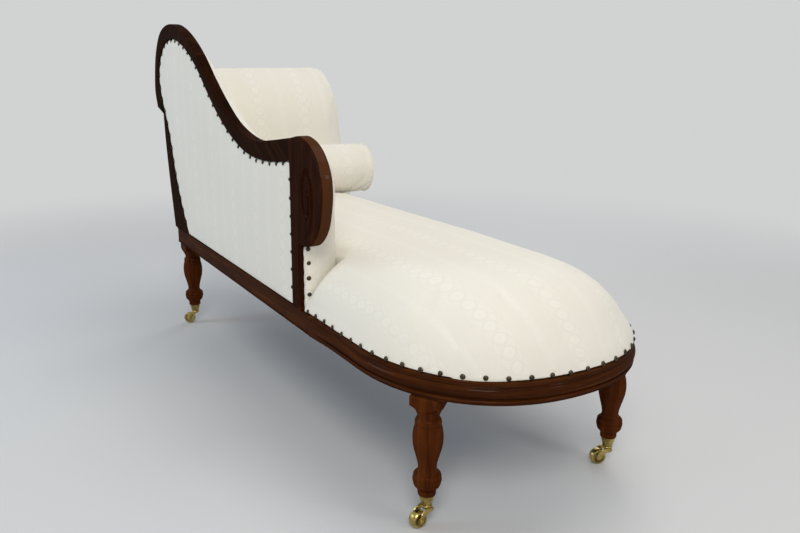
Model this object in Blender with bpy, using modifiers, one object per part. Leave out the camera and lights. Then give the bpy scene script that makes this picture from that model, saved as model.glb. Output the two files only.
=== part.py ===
"""Recamier: a one-armed chaise longue with a show-wood back on one side, a rolled head and a round foot.

Metres, +Z up. X runs from the head (low) to the rounded foot (high). The show-wood back stands on the
-Y side and the other long side is open. The origin is on the floor, under the middle of the object.
"""

import math

import bmesh
import bpy
from mathutils import Matrix, Vector
from mathutils.geometry import interpolate_bezier

# The whole object
OVERALL_LENGTH = 1.848
OVERALL_WIDTH = 0.660
BACK_TOP_Z = 1.022
CLEARANCE = 0.0003
WELD_DISTANCE = 0.00001

# Seat frame: show-wood rails outside, beech rails behind them
RAIL_TOP_Z = 0.345
RAIL_DEPTH = 0.050
RAIL_THICKNESS = 0.018
BEECH_THICKNESS = 0.042
FOOT_CURVE_LENGTH = 0.349
FOOT_ROUNDNESS = 2.2
HEAD_OVERHANG = 0.175
MOULDING_START = 0.049
MOULDING_STOP_LENGTH = 0.150
MOULDING_STOP_STATIONS = 6
STRETCHER_WIDTH = 0.045
STRETCHER_DEPTH = 0.030
CORNER_BLOCK_SIDE = 0.070
WOOD_EDGE = 0.0015

# The show-wood back
BOARD_THICKNESS = 0.030
POST_WIDTH = 0.045
SCROLL_WIDTH = 0.177
CREST_SPAN = 1.171
BOARD_EDGE = 0.004
VOLUTE_HALF_WIDTH = 0.036
VOLUTE_HALF_HEIGHT = 0.088
VOLUTE_GROOVE = 0.0045
VOLUTE_CENTRE_FROM_POST = 0.058
VOLUTE_CENTRE_DROP = 0.108
VOLUTE_TURNS = 1.45
VOLUTE_CLOSING_SHARE = 0.78
VOLUTE_POINTS = 30

# Outside panels
PANEL_THICKNESS = 0.008
PANEL_RECESS = 0.004
PANEL_EDGE = 0.003

# Head end
HEAD_PANEL_THICKNESS = 0.012
UPRIGHT_DEPTH = 0.042
UPRIGHT_WIDTH = 0.030
HEAD_ROLL_TOP_Z = 0.885
HEAD_REACH = 0.298
ROLL_SET_IN = 0.010
HEAD_END_SET_IN = 0.035
HEAD_END_ROUND = 0.028
HEAD_END_DEPTH = 0.045
FACING_THICKNESS = 0.010
HEAD_TOP_BAR_DEPTH = 0.032

# Upholstery
SEAT_EDGE_SET_IN = 0.006
SEAT_CROWN_HEAD = 0.115
SEAT_CROWN_FOOT = 0.142
SEAT_CROWN_RISE_SHARE = 0.625
SEAT_STRAIGHT_STATIONS = 9
SEAT_ARC_STATIONS = 16
BACK_PAD_THICKNESS = 0.076
BACK_PAD_OVERLAP = 0.008
BACK_PAD_FRONT_LIP = 0.012
BACK_PAD_ROUND = 0.075
BACK_PAD_DEPTH = 0.068
BACK_PAD_END_SHARE = 0.35
BOARD_EDGE_LEFT_BARE = 0.012
DECK_THICKNESS = 0.0012
BOLSTER_RADIUS = 0.085
BOLSTER_LENGTH = 0.507
BOLSTER_FROM_HEAD_END = 0.228
BOLSTER_SINK = 0.011
BOLSTER_END_ROUND = 0.016
BOLSTER_END_CROWN = 0.012

# Seat springs
SPRING_COUNT = 6
SPRING_WIRE_RADIUS = 0.0018
SPRING_LOOPS = 9
SPRING_POINTS_PER_LOOP = 6
SPRING_HALF_WIDTH = 0.024
SPRING_END_MARGIN = 0.190

# Legs
LEG_BLOCK = 0.061
LEG_INSET = 0.036
FOOT_LEG_SETBACK = 0.167
FOOT_LEG_INSET = 0.0726
FOOT_LEG_TURN = math.radians(30.3)
LEG_TENON_RADIUS = 0.011
LEG_TENON_LENGTH = 0.034
LEG_BLOCK_BASE_Z = 0.277
LEG_BLOCK_SWELL = 0.046
LEG_RADIUS = 0.0320
LEG_NECK_RADIUS = 0.0223
LEG_NECK_Z = 0.2475
SPIGOT_RADIUS = 0.0125
SPIGOT_LENGTH = 0.0060

# Castors
WHEEL_RADIUS = 0.019
WHEEL_WIDTH = 0.022
WHEEL_TREAD = 0.012
WHEEL_EDGE_DROP = 0.0035
AXLE_RADIUS = 0.0025
AXLE_HEAD_RADIUS = 0.0042
AXLE_HEAD_LENGTH = 0.0012
RUNNING_GAP = 0.0004
CASTOR_TRAIL = 0.022
CUP_TOP_Z = 0.0690
CUP_BASE_Z = 0.0425
CUP_TOP_RADIUS = 0.0160
CUP_BASE_RADIUS = 0.0108
CUP_WALL = 0.0030
CHEEK_THICKNESS = 0.0028
HORN_PLATE_THICKNESS = 0.0032
HORN_HUB_RADIUS = 0.0100
HORN_PLATE_BACK = 0.0080
HORN_PLATE_FRONT = 0.0085
STEM_RADIUS = 0.0040
STEM_LENGTH = 0.0120
CASTOR_TURNS = {"foot_near": -85.0, "foot_far": -118.0, "head_near": -129.0, "head_far": -98.0}

TURNED_SIDES = 20
SMALL_SIDES = 16
BOLSTER_SIDES = 28
CURVE_STEPS = 4
ROUND_STEPS = 3

# Places worked out from the sizes above
HEAD_X = -OVERALL_LENGTH / 2
FOOT_X = OVERALL_LENGTH / 2
SIDE_Y = OVERALL_WIDTH / 2
RAIL_BASE_Z = RAIL_TOP_Z - RAIL_DEPTH
BACK_RISE = BACK_TOP_Z - RAIL_TOP_Z
HEAD_END_X = HEAD_X + HEAD_OVERHANG
CURVE_START_X = FOOT_X - FOOT_CURVE_LENGTH
POST_X = HEAD_X + CREST_SPAN
POST_FRONT_X = POST_X + POST_WIDTH
MOULDING_X = POST_FRONT_X + MOULDING_START
BOARD_INNER_Y = -SIDE_Y + BOARD_THICKNESS
BEECH_OUTER = RAIL_THICKNESS + CLEARANCE
BEECH_INNER = RAIL_THICKNESS + BEECH_THICKNESS
BACK_PAD_FACE_Y = BOARD_INNER_Y + CLEARANCE + BACK_PAD_THICKNESS

# Outer line of the stile, from the rail up to the step under the rolled head.
# Each pair is a share of the crest's span from the head, and a share of the back's rise over the rail.
STILE_OUTER_SHARES = (
    (0.1307, 0.0), (0.1008, 0.2334), (0.0811, 0.4357), (0.0751, 0.5657),
)

# Outer line of the crest, from the step over the lobe and down to the post.
CREST_OUTER_SHARES = (
    (0.0751, 0.5657), (0.0162, 0.5923), (0.0, 0.6721), (0.0077, 0.7578), (0.0342, 0.8671),
    (0.0897, 0.9616), (0.158, 0.997), (0.2092, 1.0), (0.2775, 0.9793), (0.3501, 0.9335),
    (0.4227, 0.8671), (0.5004, 0.771), (0.585, 0.6795), (0.6678, 0.6086), (0.7387, 0.5761),
    (0.8113, 0.5613), (0.9009, 0.579), (1.0, 0.6041),
)
LOBE_OUTER_KNOTS = 10
HEAD_STEP_SHARE = STILE_OUTER_SHARES[-1][1]

# The rest of that line, round the scroll's nose, as shares of the scroll's width and the back's rise.
SCROLL_OUTER_SHARES = (
    (0.36, 0.6175), (0.76, 0.577), (0.97, 0.500), (1.0, 0.450), (0.97, 0.390), (0.89, 0.325), (0.615, 0.2555),
)
SCROLL_HEEL_SHARE = 0.239

# Inner line of the frame, from the post back over the lobe and down the stile.
FRAME_INNER_SHARES = (
    (1.0, 0.5244), (0.9351, 0.5081), (0.8284, 0.4948), (0.7558, 0.5037), (0.6652, 0.5465),
    (0.5807, 0.6145), (0.4996, 0.7046), (0.4236, 0.8006), (0.357, 0.8641), (0.2699, 0.9173),
    (0.1921, 0.9321), (0.1161, 0.8996), (0.0632, 0.8213), (0.0444, 0.7386), (0.0572, 0.6499),
    (0.0863, 0.5657), (0.1204, 0.452), (0.1537, 0.288), (0.1921, 0.1551), (0.2545, 0.0),
)
SWEEP_INNER_KNOTS = 7
LOBE_INNER_KNOTS = 15

# Face and roll of the head pad, from its foot on the rail over the roll to the step: shares of the
# head's reach from the roll's back, and of the roll's rise over the rail.
HEAD_FACE_SHARES = (
    (0.99, 0.0), (0.963, 0.157), (0.856, 0.324), (0.7215, 0.472), (0.668, 0.583), (0.6275, 0.681),
    (0.5638, 0.78), (0.47, 0.865), (0.359, 0.926), (0.258, 0.9685), (0.151, 1.0), (0.057, 0.9685),
    (0.0, 0.889), (0.0235, 0.8056), (0.1, 0.7537), (0.201, 0.7296),
)

# Shape of the padded facing on the open end of the head, in the same shares.
FACING_SHARES = (
    (0.86, 0.0), (0.84, 0.157), (0.735, 0.324), (0.605, 0.472), (0.55, 0.583), (0.51, 0.681),
    (0.45, 0.77), (0.37, 0.83), (0.29, 0.868), (0.21, 0.885), (0.15, 0.875), (0.115, 0.84),
    (0.115, 0.79), (0.16, 0.755), (0.255, 0.735),
)

# Show-wood rail section: how far each point is cut in, as a share of the rail's thickness, and how far
# down it lies, as a share of the rail's depth: fillet, torus, groove, bead and cut-back foot.
MOULDING_SHARES = (
    (0.30, 0.0), (0.30, 0.22), (0.38, 0.27), (0.16, 0.31), (0.03, 0.39), (0.0, 0.49), (0.05, 0.60),
    (0.20, 0.68), (0.36, 0.71), (0.36, 0.75), (0.14, 0.78), (0.10, 0.83), (0.14, 0.88), (0.34, 0.90),
    (0.34, 1.0),
)

# Half sections of the seat dome: share of the half width, then rise is (1 - share ** power) ** root.
SEAT_RING_SHARES = (1.0, 0.985, 0.955, 0.91, 0.84, 0.74, 0.60, 0.42, 0.22, 0.0)
SEAT_DOME_POWER = 4.8
SEAT_DOME_ROOT = 0.9

# Lamb's tongue from the leg's block to its neck: how far out between neck and block, and how far down.
LEG_FLARE_SHARES = ((1.446, 0.25), (0.45, 0.66))

# Turned leg under its block: radius as a share of the vase's, and height as a share of the turned length.
LEG_TURNING_SHARES = (
    (0.694, 0.9776), (0.819, 0.9580), (0.869, 0.9300), (0.862, 0.9048), (0.831, 0.8936),
    (0.869, 0.8824), (0.953, 0.8179), (0.997, 0.7395), (0.975, 0.6611), (0.875, 0.5714),
    (0.725, 0.4706), (0.628, 0.3922), (0.606, 0.3473), (0.641, 0.3193), (0.812, 0.2857),
    (0.934, 0.2409), (0.922, 0.2213), (0.953, 0.2073), (0.906, 0.1569), (0.734, 0.1036),
    (0.569, 0.0728), (0.597, 0.0616), (0.597, 0.0168), (0.547, 0.0017),
)

# Gathered end of the bolster: share of its radius, and how far it is drawn in as a share of its crown.
BOLSTER_END_SHARES = ((0.0, 0.333), (0.094, 0.0), (0.55, 0.0), (0.85, 0.25))

# Outline of one cheek of the castor's fork, as shares of the trail and of the axle-to-plate height.
CHEEK_SHARES = (
    (-0.40, 0.86), (-0.36, 1.0), (0.40, 1.0), (0.86, 0.78), (1.16, 0.36), (1.27, 0.0), (1.18, -0.20),
    (1.0, -0.28), (0.80, -0.20), (0.70, 0.04), (0.52, 0.36), (0.20, 0.58), (-0.20, 0.66),
)


def clear_scene():
    for obj in list(bpy.data.objects):
        bpy.data.objects.remove(obj)


def new_collection(name):
    collection = bpy.data.collections.new(name)
    bpy.context.scene.collection.children.link(collection)
    return collection


def new_material(name, colour, roughness, metallic=0.0):
    material = bpy.data.materials.new(name)
    material.use_nodes = True
    shader = material.node_tree.nodes["Principled BSDF"]
    shader.inputs["Base Color"].default_value = (*colour, 1.0)
    shader.inputs["Roughness"].default_value = roughness
    shader.inputs["Metallic"].default_value = metallic
    material.diffuse_color = (*colour, 1.0)
    return material


clear_scene()
PARTS = new_collection("recamier")
CUTTERS = new_collection("cutters")
MAHOGANY = new_material("mahogany", (0.075, 0.018, 0.008), 0.22)
BEECH = new_material("beech", (0.52, 0.34, 0.19), 0.6)
DAMASK = new_material("ivory_damask", (0.80, 0.74, 0.62), 0.75)
BRASS = new_material("brass", (0.70, 0.46, 0.14), 0.25, 1.0)
STEEL = new_material("spring_steel", (0.35, 0.35, 0.36), 0.4, 1.0)
HESSIAN = new_material("hessian", (0.45, 0.33, 0.19), 0.9)
BLACK_CLOTH = new_material("bottoming_cloth", (0.02, 0.02, 0.022), 0.9)


def finish(obj, material=None, smooth_angle=None):
    """Gives the object its finish. A cutter has none, and is neither rendered nor shaded."""
    if material is None:
        obj.hide_render = True
        obj.display_type = "WIRE"
        return obj
    obj.data.materials.clear()
    obj.data.materials.append(material)
    if smooth_angle is not None:
        obj.data.shade_smooth()
        obj.data.set_sharp_from_angle(angle=smooth_angle)
    return obj


def new_object(name, data, collection=None):
    obj = bpy.data.objects.new(name, data)
    (collection or PARTS).objects.link(obj)
    return obj


def from_bmesh(name, shape, collection=None):
    mesh = bpy.data.meshes.new(name)
    shape.to_mesh(mesh)
    shape.free()
    return new_object(name, mesh, collection)


def baked(obj):
    """The object with its modifiers or curve settings applied: a welded mesh in world space."""
    graph = bpy.context.evaluated_depsgraph_get()
    mesh = bpy.data.meshes.new_from_object(obj.evaluated_get(graph))
    mesh.transform(obj.matrix_world)
    shape = bmesh.new()
    shape.from_mesh(mesh)
    bmesh.ops.remove_doubles(shape, verts=shape.verts, dist=WELD_DISTANCE)
    bmesh.ops.recalc_face_normals(shape, faces=shape.faces)
    shape.to_mesh(mesh)
    shape.free()
    name, collection = obj.name, obj.users_collection[0]
    bpy.data.objects.remove(obj)
    return new_object(name, mesh, collection)


def box(name, low, high, collection=None):
    low, high = Vector(low), Vector(high)
    shape = bmesh.new()
    size = Matrix.Diagonal((*(high - low), 1.0))
    bmesh.ops.create_cube(shape, size=1.0, matrix=Matrix.Translation((low + high) / 2) @ size)
    return from_bmesh(name, shape, collection)


def cylinder(name, radius, base, height, sides=TURNED_SIDES, collection=None):
    """An upright cylinder, base being the middle of its lower face."""
    shape = bmesh.new()
    middle = Matrix.Translation(Vector(base) + Vector((0, 0, height / 2)))
    bmesh.ops.create_cone(
        shape, cap_ends=True, segments=sides, radius1=radius, radius2=radius, depth=height, matrix=middle
    )
    return from_bmesh(name, shape, collection)


def turned(name, profile, sides=TURNED_SIDES, collection=None):
    """A profile of (radius, height) pairs, listed top to bottom, turned about Z."""
    shape = bmesh.new()
    corners = [shape.verts.new((radius, 0.0, height)) for radius, height in profile]
    for upper, lower in zip(corners, corners[1:]):
        shape.edges.new((upper, lower))
    obj = from_bmesh(name, shape, collection)
    screw = obj.modifiers.new("turn", "SCREW")
    screw.steps = screw.render_steps = sides
    screw.use_merge_vertices = True
    screw.merge_threshold = WELD_DISTANCE
    return baked(obj)


def plate(name, outline, thickness, middle_y, collection=None):
    """A flat outline of (x, z) points, stood upright and thickened about middle_y."""
    curve = bpy.data.curves.new(name, "CURVE")
    curve.dimensions = "2D"
    curve.fill_mode = "BOTH"
    curve.extrude = thickness / 2
    spline = curve.splines.new("POLY")
    spline.points.add(len(outline) - 1)
    for point, (x, z) in zip(spline.points, outline):
        point.co = (x, z, 0.0, 1.0)
    spline.use_cyclic_u = True
    obj = new_object(name, curve, collection)
    obj.rotation_euler = (math.pi / 2, 0.0, 0.0)
    obj.location = (0.0, middle_y, 0.0)
    bpy.context.view_layer.update()
    return baked(obj)


def inset(outline, distances):
    """The outline with each of its sides moved inward by its own distance."""
    count = len(outline)
    area = sum(a.x * b.y - b.x * a.y for a, b in zip(outline, outline[1:] + outline[:1]))
    turn = math.copysign(1.0, area)
    sides = [(outline[(i + 1) % count] - outline[i]).normalized() for i in range(count)]
    inward = [Vector((-side.y, side.x)) * turn for side in sides]
    moved = []
    for i, point in enumerate(outline):
        before, after = inward[i - 1], inward[i]
        near, far = distances[i - 1], distances[i]
        crossing = before.x * after.y - before.y * after.x
        if abs(crossing) < math.sin(math.radians(12)):
            moved.append(point + (before + after).normalized() * (near + far) / 2)
        else:
            step = Vector((near * after.y - far * before.y, far * before.x - near * after.x)) / crossing
            moved.append(point + step)
    return moved


def pillow(name, outline, flat_y, face_y, depth, reach, give, collection=None):
    """An upright slab whose face is rounded over its edge, depth across and reach inward.
    The share of that reach that one side of the outline takes is give(start, end)."""
    shares = [give(start, end) for start, end in zip(outline, outline[1:] + outline[:1])]
    toward = math.copysign(1.0, face_y - flat_y)
    levels = [(flat_y, 0.0)]
    for i in range(ROUND_STEPS + 1):
        angle = math.pi / 2 * i / ROUND_STEPS
        levels.append((face_y - toward * depth * (1.0 - math.sin(angle)), reach * (1.0 - math.cos(angle))))
    shape = bmesh.new()
    rings = []
    for y, distance in levels:
        ring = inset(outline, [share * distance for share in shares])
        rings.append([shape.verts.new((x, y, z)) for x, z in ring])
    for before, after in zip(rings, rings[1:]):
        for i in range(len(before)):
            j = (i + 1) % len(before)
            shape.faces.new((before[i], before[j], after[j], after[i]))
    shape.faces.new(rings[0][::-1])
    shape.faces.new(rings[-1])
    bmesh.ops.recalc_face_normals(shape, faces=shape.faces)
    return from_bmesh(name, shape, collection)


def rounded(obj, width, segments=2, angle=math.radians(50)):
    bevel = obj.modifiers.new("rounded", "BEVEL")
    bevel.width = width
    bevel.segments = segments
    bevel.limit_method = "ANGLE"
    bevel.angle_limit = angle
    return obj


def combine(obj, other, operation):
    boolean = obj.modifiers.new(operation.lower(), "BOOLEAN")
    boolean.operation = operation
    boolean.object = other
    return obj


def cut(obj, *cutters):
    for cutter in cutters:
        combine(obj, finish(cutter), "DIFFERENCE")
    return obj


def smooth_run(knots, steps=CURVE_STEPS):
    """Points of a smooth curve through the knots, steps to a knot."""
    knots = [Vector(knot) for knot in knots]
    spans = [(after - before).length for before, after in zip(knots, knots[1:])]
    slopes = [(knots[1] - knots[0]) / spans[0]]
    for i in range(1, len(knots) - 1):
        into, out = (knots[i] - knots[i - 1]) / spans[i - 1], (knots[i + 1] - knots[i]) / spans[i]
        slopes.append((into * spans[i] + out * spans[i - 1]) / (spans[i - 1] + spans[i]))
    slopes.append((knots[-1] - knots[-2]) / spans[-1])
    run = []
    for i, span in enumerate(spans):
        start, end = knots[i], knots[i + 1]
        leaving, arriving = start + slopes[i] * span / 3, end - slopes[i + 1] * span / 3
        run += interpolate_bezier(start, leaving, arriving, end, steps + 1)[:-1]
    return [Vector(point[:2]) for point in run] + [knots[-1]]


def shifted(run, distance):
    """The run moved sideways, to the left of its own direction for a positive distance."""
    moved = []
    for i, point in enumerate(run):
        along = (run[min(i + 1, len(run) - 1)] - run[max(i - 1, 0)]).normalized()
        moved.append(point + distance * Vector((-along.y, along.x)))
    return moved


def x_at(run, height):
    """Where a run that falls or rises steadily crosses this height."""
    before, after = min(zip(run, run[1:]), key=lambda pair: abs((pair[0].y + pair[1].y) / 2 - height))
    share = (height - before.y) / (after.y - before.y)
    return before.x + (after.x - before.x) * share


def on_crest(share):
    return Vector((HEAD_X + share[0] * CREST_SPAN, RAIL_TOP_Z + share[1] * BACK_RISE))


def on_scroll(share):
    return Vector((POST_X + share[0] * SCROLL_WIDTH, RAIL_TOP_Z + share[1] * BACK_RISE))


def stile_outer_run():
    return smooth_run([on_crest(share) for share in STILE_OUTER_SHARES])


def frame_outer_run():
    """From the step, over the lobe and the crest, round the scroll to the post's front edge."""
    heel = Vector((POST_FRONT_X, RAIL_TOP_Z + SCROLL_HEEL_SHARE * BACK_RISE))
    step, *rest = [on_crest(share) for share in CREST_OUTER_SHARES]
    return [step] + smooth_run(rest + [on_scroll(share) for share in SCROLL_OUTER_SHARES] + [heel])


def frame_inner_run():
    return smooth_run([on_crest(share) for share in FRAME_INNER_SHARES])


def lifted(run, height):
    """The run with its points below that height brought up to it."""
    return [Vector((x, max(z, height))) for x, z in run]


def show_wood_back():
    """The carved frame of the back: stile, arched lobe, crest and scroll-topped post."""
    middle_y = -SIDE_Y + BOARD_THICKNESS / 2
    outer, inner = frame_outer_run(), frame_inner_run()
    lobe_end = 1 + (LOBE_OUTER_KNOTS - 1) * CURVE_STEPS
    crest_end = 1 + (len(CREST_OUTER_SHARES) - 2) * CURVE_STEPS
    sweep_start = SWEEP_INNER_KNOTS * CURVE_STEPS
    lobe_start = LOBE_INNER_KNOTS * CURVE_STEPS
    foot_z = RAIL_TOP_Z + CLEARANCE

    stile = lifted(stile_outer_run(), foot_z) + lifted(inner[lobe_start:], foot_z)
    lobe = outer[: lobe_end + 1] + inner[sweep_start : lobe_start + 1]
    seam_z = outer[0].y + CLEARANCE
    lobe[0] = Vector((lobe[0].x, seam_z))
    lobe[-1] = Vector((lobe[-1].x, seam_z))
    sweep = outer[lobe_end : crest_end + 1] + inner[: sweep_start + 1]
    seam = (outer[lobe_end + 1] - outer[lobe_end]).normalized() * CLEARANCE
    sweep[0] = sweep[0] + seam
    sweep[-1] = sweep[-1] + seam
    for i in (crest_end - lobe_end, crest_end - lobe_end + 1):
        sweep[i] = sweep[i] - Vector((CLEARANCE, 0.0))
    post = outer[crest_end:] + [Vector((POST_FRONT_X, foot_z)), Vector((POST_X, foot_z))]

    for name, outline in (("back_stile", stile), ("crest_lobe", lobe), ("crest_sweep", sweep)):
        board = rounded(plate(name, outline, BOARD_THICKNESS, middle_y), BOARD_EDGE)
        finish(board, MAHOGANY, math.radians(40))
    scroll = plate("scroll_post", post, BOARD_THICKNESS, middle_y)
    scroll = baked(rounded(scroll, BOARD_EDGE))
    cut(scroll, volute_groove())
    finish(scroll, MAHOGANY, math.radians(40))


def volute_groove():
    """The spiral cut into the scroll's face, as a tube half sunk in it."""
    centre = Vector((POST_X + VOLUTE_CENTRE_FROM_POST * 2 - POST_WIDTH / 2, 0.0, 0.0))
    centre.z = RAIL_TOP_Z + CREST_OUTER_SHARES[-1][1] * BACK_RISE - VOLUTE_CENTRE_DROP - POST_WIDTH / 2
    curve = bpy.data.curves.new("volute_groove", "CURVE")
    curve.dimensions = "3D"
    curve.bevel_depth = VOLUTE_GROOVE
    curve.bevel_resolution = 1
    curve.use_fill_caps = True
    spline = curve.splines.new("POLY")
    spline.points.add(VOLUTE_POINTS)
    for i, point in enumerate(spline.points):
        share = i / VOLUTE_POINTS
        angle = -math.pi / 2 + share * VOLUTE_TURNS * math.tau
        reach = 1.0 - VOLUTE_CLOSING_SHARE * share
        x = centre.x + VOLUTE_HALF_WIDTH * reach * math.cos(angle)
        z = centre.z + VOLUTE_HALF_HEIGHT * reach * math.sin(angle)
        point.co = (x, -SIDE_Y, z, 1.0)
    return baked(new_object("volute_groove", curve, CUTTERS))


def outside_back_panel():
    """The flat upholstered panel that fills the frame from outside."""
    run = shifted(frame_inner_run(), CLEARANCE)
    foot_z = RAIL_TOP_Z + CLEARANCE
    run = [Vector((min(x, POST_X - CLEARANCE), max(z, foot_z))) for x, z in run]
    outline = run + [Vector((POST_X - CLEARANCE, foot_z))]
    middle_y = -SIDE_Y + PANEL_RECESS + PANEL_THICKNESS / 2
    panel = rounded(plate("outside_back_panel", outline, PANEL_THICKNESS, middle_y), PANEL_EDGE, 1)
    finish(panel, DAMASK, math.radians(40))


def foot_path(cut_in, steps=CURVE_STEPS * 6):
    """The rounded foot in plan, cut in from the outer face: (point, outward direction) pairs."""
    half_length, half_width = FOOT_CURVE_LENGTH, SIDE_Y
    path = []
    for i in range(steps + 1):
        angle = math.pi * (i / steps - 0.5)
        across, along = math.sin(angle), math.cos(angle)
        x = half_length * abs(along) ** (2 / FOOT_ROUNDNESS)
        y = half_width * math.copysign(abs(across) ** (2 / FOOT_ROUNDNESS), across)
        normal = Vector((
            abs(x / half_length) ** (FOOT_ROUNDNESS - 1) / half_length,
            math.copysign(abs(y / half_width) ** (FOOT_ROUNDNESS - 1), y) / half_width,
        )).normalized()
        if i in (0, steps):
            normal = Vector((0.0, math.copysign(1.0, across)))
        path.append((Vector((CURVE_START_X + x, y)) - normal * cut_in, normal))
    return path


def swept(name, path, sections, collection=None):
    """A loft along a path in plan: each section lists (cut in, height) points, in the path's frame."""
    shape = bmesh.new()
    rings = []
    for (point, outward), section in zip(path, sections):
        ring = []
        for cut_in, height in section:
            place = point - outward * cut_in
            ring.append(shape.verts.new((place.x, place.y, height)))
        rings.append(ring)
    for before, after in zip(rings, rings[1:]):
        for i in range(len(before)):
            j = (i + 1) % len(before)
            shape.faces.new((before[i], after[i], after[j], before[j]))
    shape.faces.new(rings[0])
    shape.faces.new(rings[-1][::-1])
    bmesh.ops.recalc_face_normals(shape, faces=shape.faces)
    return from_bmesh(name, shape, collection)


def moulded_section(depth_share):
    """The show-wood rail's section: flat at share 0, fully moulded at share 1."""
    face = [
        (cut_in * depth_share * RAIL_THICKNESS, RAIL_TOP_Z - down * RAIL_DEPTH)
        for cut_in, down in MOULDING_SHARES
    ]
    return face + [(RAIL_THICKNESS, RAIL_BASE_Z), (RAIL_THICKNESS, RAIL_TOP_Z)]


def straight_path(start_x, end_x, side, stations):
    outward = Vector((0.0, side))
    return [
        (Vector((start_x + (end_x - start_x) * i / stations, side * SIDE_Y)), outward)
        for i in range(stations + 1)
    ]


def show_wood_rails():
    """Flat rail under the back, moulded rails round the foot and down the open side, plain head rail."""
    low, high = RAIL_BASE_Z, RAIL_TOP_Z
    back = box(
        "back_side_rail", (HEAD_END_X, -SIDE_Y, low), (MOULDING_X - CLEARANCE, -SIDE_Y + RAIL_THICKNESS, high)
    )
    finish(rounded(back, WOOD_EDGE, 1), MAHOGANY)

    stop = straight_path(MOULDING_X, MOULDING_X + MOULDING_STOP_LENGTH, -1, MOULDING_STOP_STATIONS)
    path = stop + foot_path(0.0)
    depths = [math.sin(i / MOULDING_STOP_STATIONS * math.pi / 2) for i in range(len(stop))]
    sections = [moulded_section(depth) for depth in depths]
    sections += [moulded_section(1.0)] * (len(path) - len(stop))
    finish(swept("foot_moulded_rail", path, sections), MAHOGANY, math.radians(35))

    front_path = straight_path(CURVE_START_X - CLEARANCE, HEAD_END_X, 1, 1)
    front = swept("front_side_rail", front_path, [moulded_section(1.0)] * 2)
    finish(front, MAHOGANY, math.radians(35))

    inner_y = SIDE_Y - RAIL_THICKNESS - CLEARANCE
    head = box("head_rail", (HEAD_END_X, -inner_y, low), (HEAD_END_X + RAIL_THICKNESS, inner_y, high))
    finish(rounded(head, WOOD_EDGE, 1), MAHOGANY)


def beech_frame():
    """The frame behind the show-wood: side, foot and head rails, stretchers and corner blocks."""
    low, high = RAIL_BASE_Z, RAIL_TOP_Z
    outer_y, inner_y = SIDE_Y - BEECH_OUTER, SIDE_Y - BEECH_INNER
    start_x = HEAD_END_X + BEECH_OUTER
    end_x = CURVE_START_X - CLEARANCE
    frame = [
        box("seat_frame_back", (start_x, -outer_y, low), (end_x, -inner_y, high)),
        box("seat_frame_front", (start_x, inner_y, low), (end_x, outer_y, high)),
    ]
    across_y = inner_y - CLEARANCE
    head_inner_x = HEAD_END_X + BEECH_INNER
    frame.append(box("seat_frame_head", (start_x, -across_y, low), (head_inner_x, across_y, high)))
    section = [(BEECH_OUTER, high), (BEECH_OUTER, low), (BEECH_INNER, low), (BEECH_INNER, high)]
    path = foot_path(0.0)
    frame.append(swept("seat_frame_foot", path, [section] * len(path)))

    span = CURVE_START_X - head_inner_x
    for i in (1, 2):
        middle_x = head_inner_x + span * i / 2 - STRETCHER_WIDTH * (i - 1)
        stretcher = box(
            f"stretcher_{i}",
            (middle_x - STRETCHER_WIDTH / 2, -across_y, low),
            (middle_x + STRETCHER_WIDTH / 2, across_y, low + STRETCHER_DEPTH),
        )
        frame.append(stretcher)
    for side, name in ((-1, "back"), (1, "front")):
        corner = Vector((head_inner_x + CLEARANCE, side * across_y))
        shape = bmesh.new()
        ends = [
            corner,
            corner + Vector((CORNER_BLOCK_SIDE, 0.0)),
            corner - Vector((0.0, side * CORNER_BLOCK_SIDE)),
        ]
        face = shape.faces.new([shape.verts.new((*end, low)) for end in ends])
        raised = bmesh.ops.extrude_face_region(shape, geom=[face])["geom"]
        points = [item for item in raised if isinstance(item, bmesh.types.BMVert)]
        bmesh.ops.translate(shape, verts=points, vec=(0.0, 0.0, STRETCHER_DEPTH))
        bmesh.ops.recalc_face_normals(shape, faces=shape.faces)
        frame.append(from_bmesh(f"corner_block_{name}", shape))
    for piece in frame:
        finish(piece, BEECH)
    return {piece.name: piece for piece in frame}


def leg_places():
    """Name, place of the axis in plan, and turn of the square block about it."""
    head_x = HEAD_END_X + LEG_INSET
    head_y = SIDE_Y - LEG_INSET
    foot_x = FOOT_X - FOOT_LEG_SETBACK
    foot_y = SIDE_Y - FOOT_LEG_INSET
    return (
        ("foot_near", Vector((foot_x, -foot_y)), FOOT_LEG_TURN),
        ("foot_far", Vector((foot_x, foot_y)), -FOOT_LEG_TURN),
        ("head_near", Vector((head_x, -head_y)), 0.0),
        ("head_far", Vector((head_x, head_y)), 0.0),
    )


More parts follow.
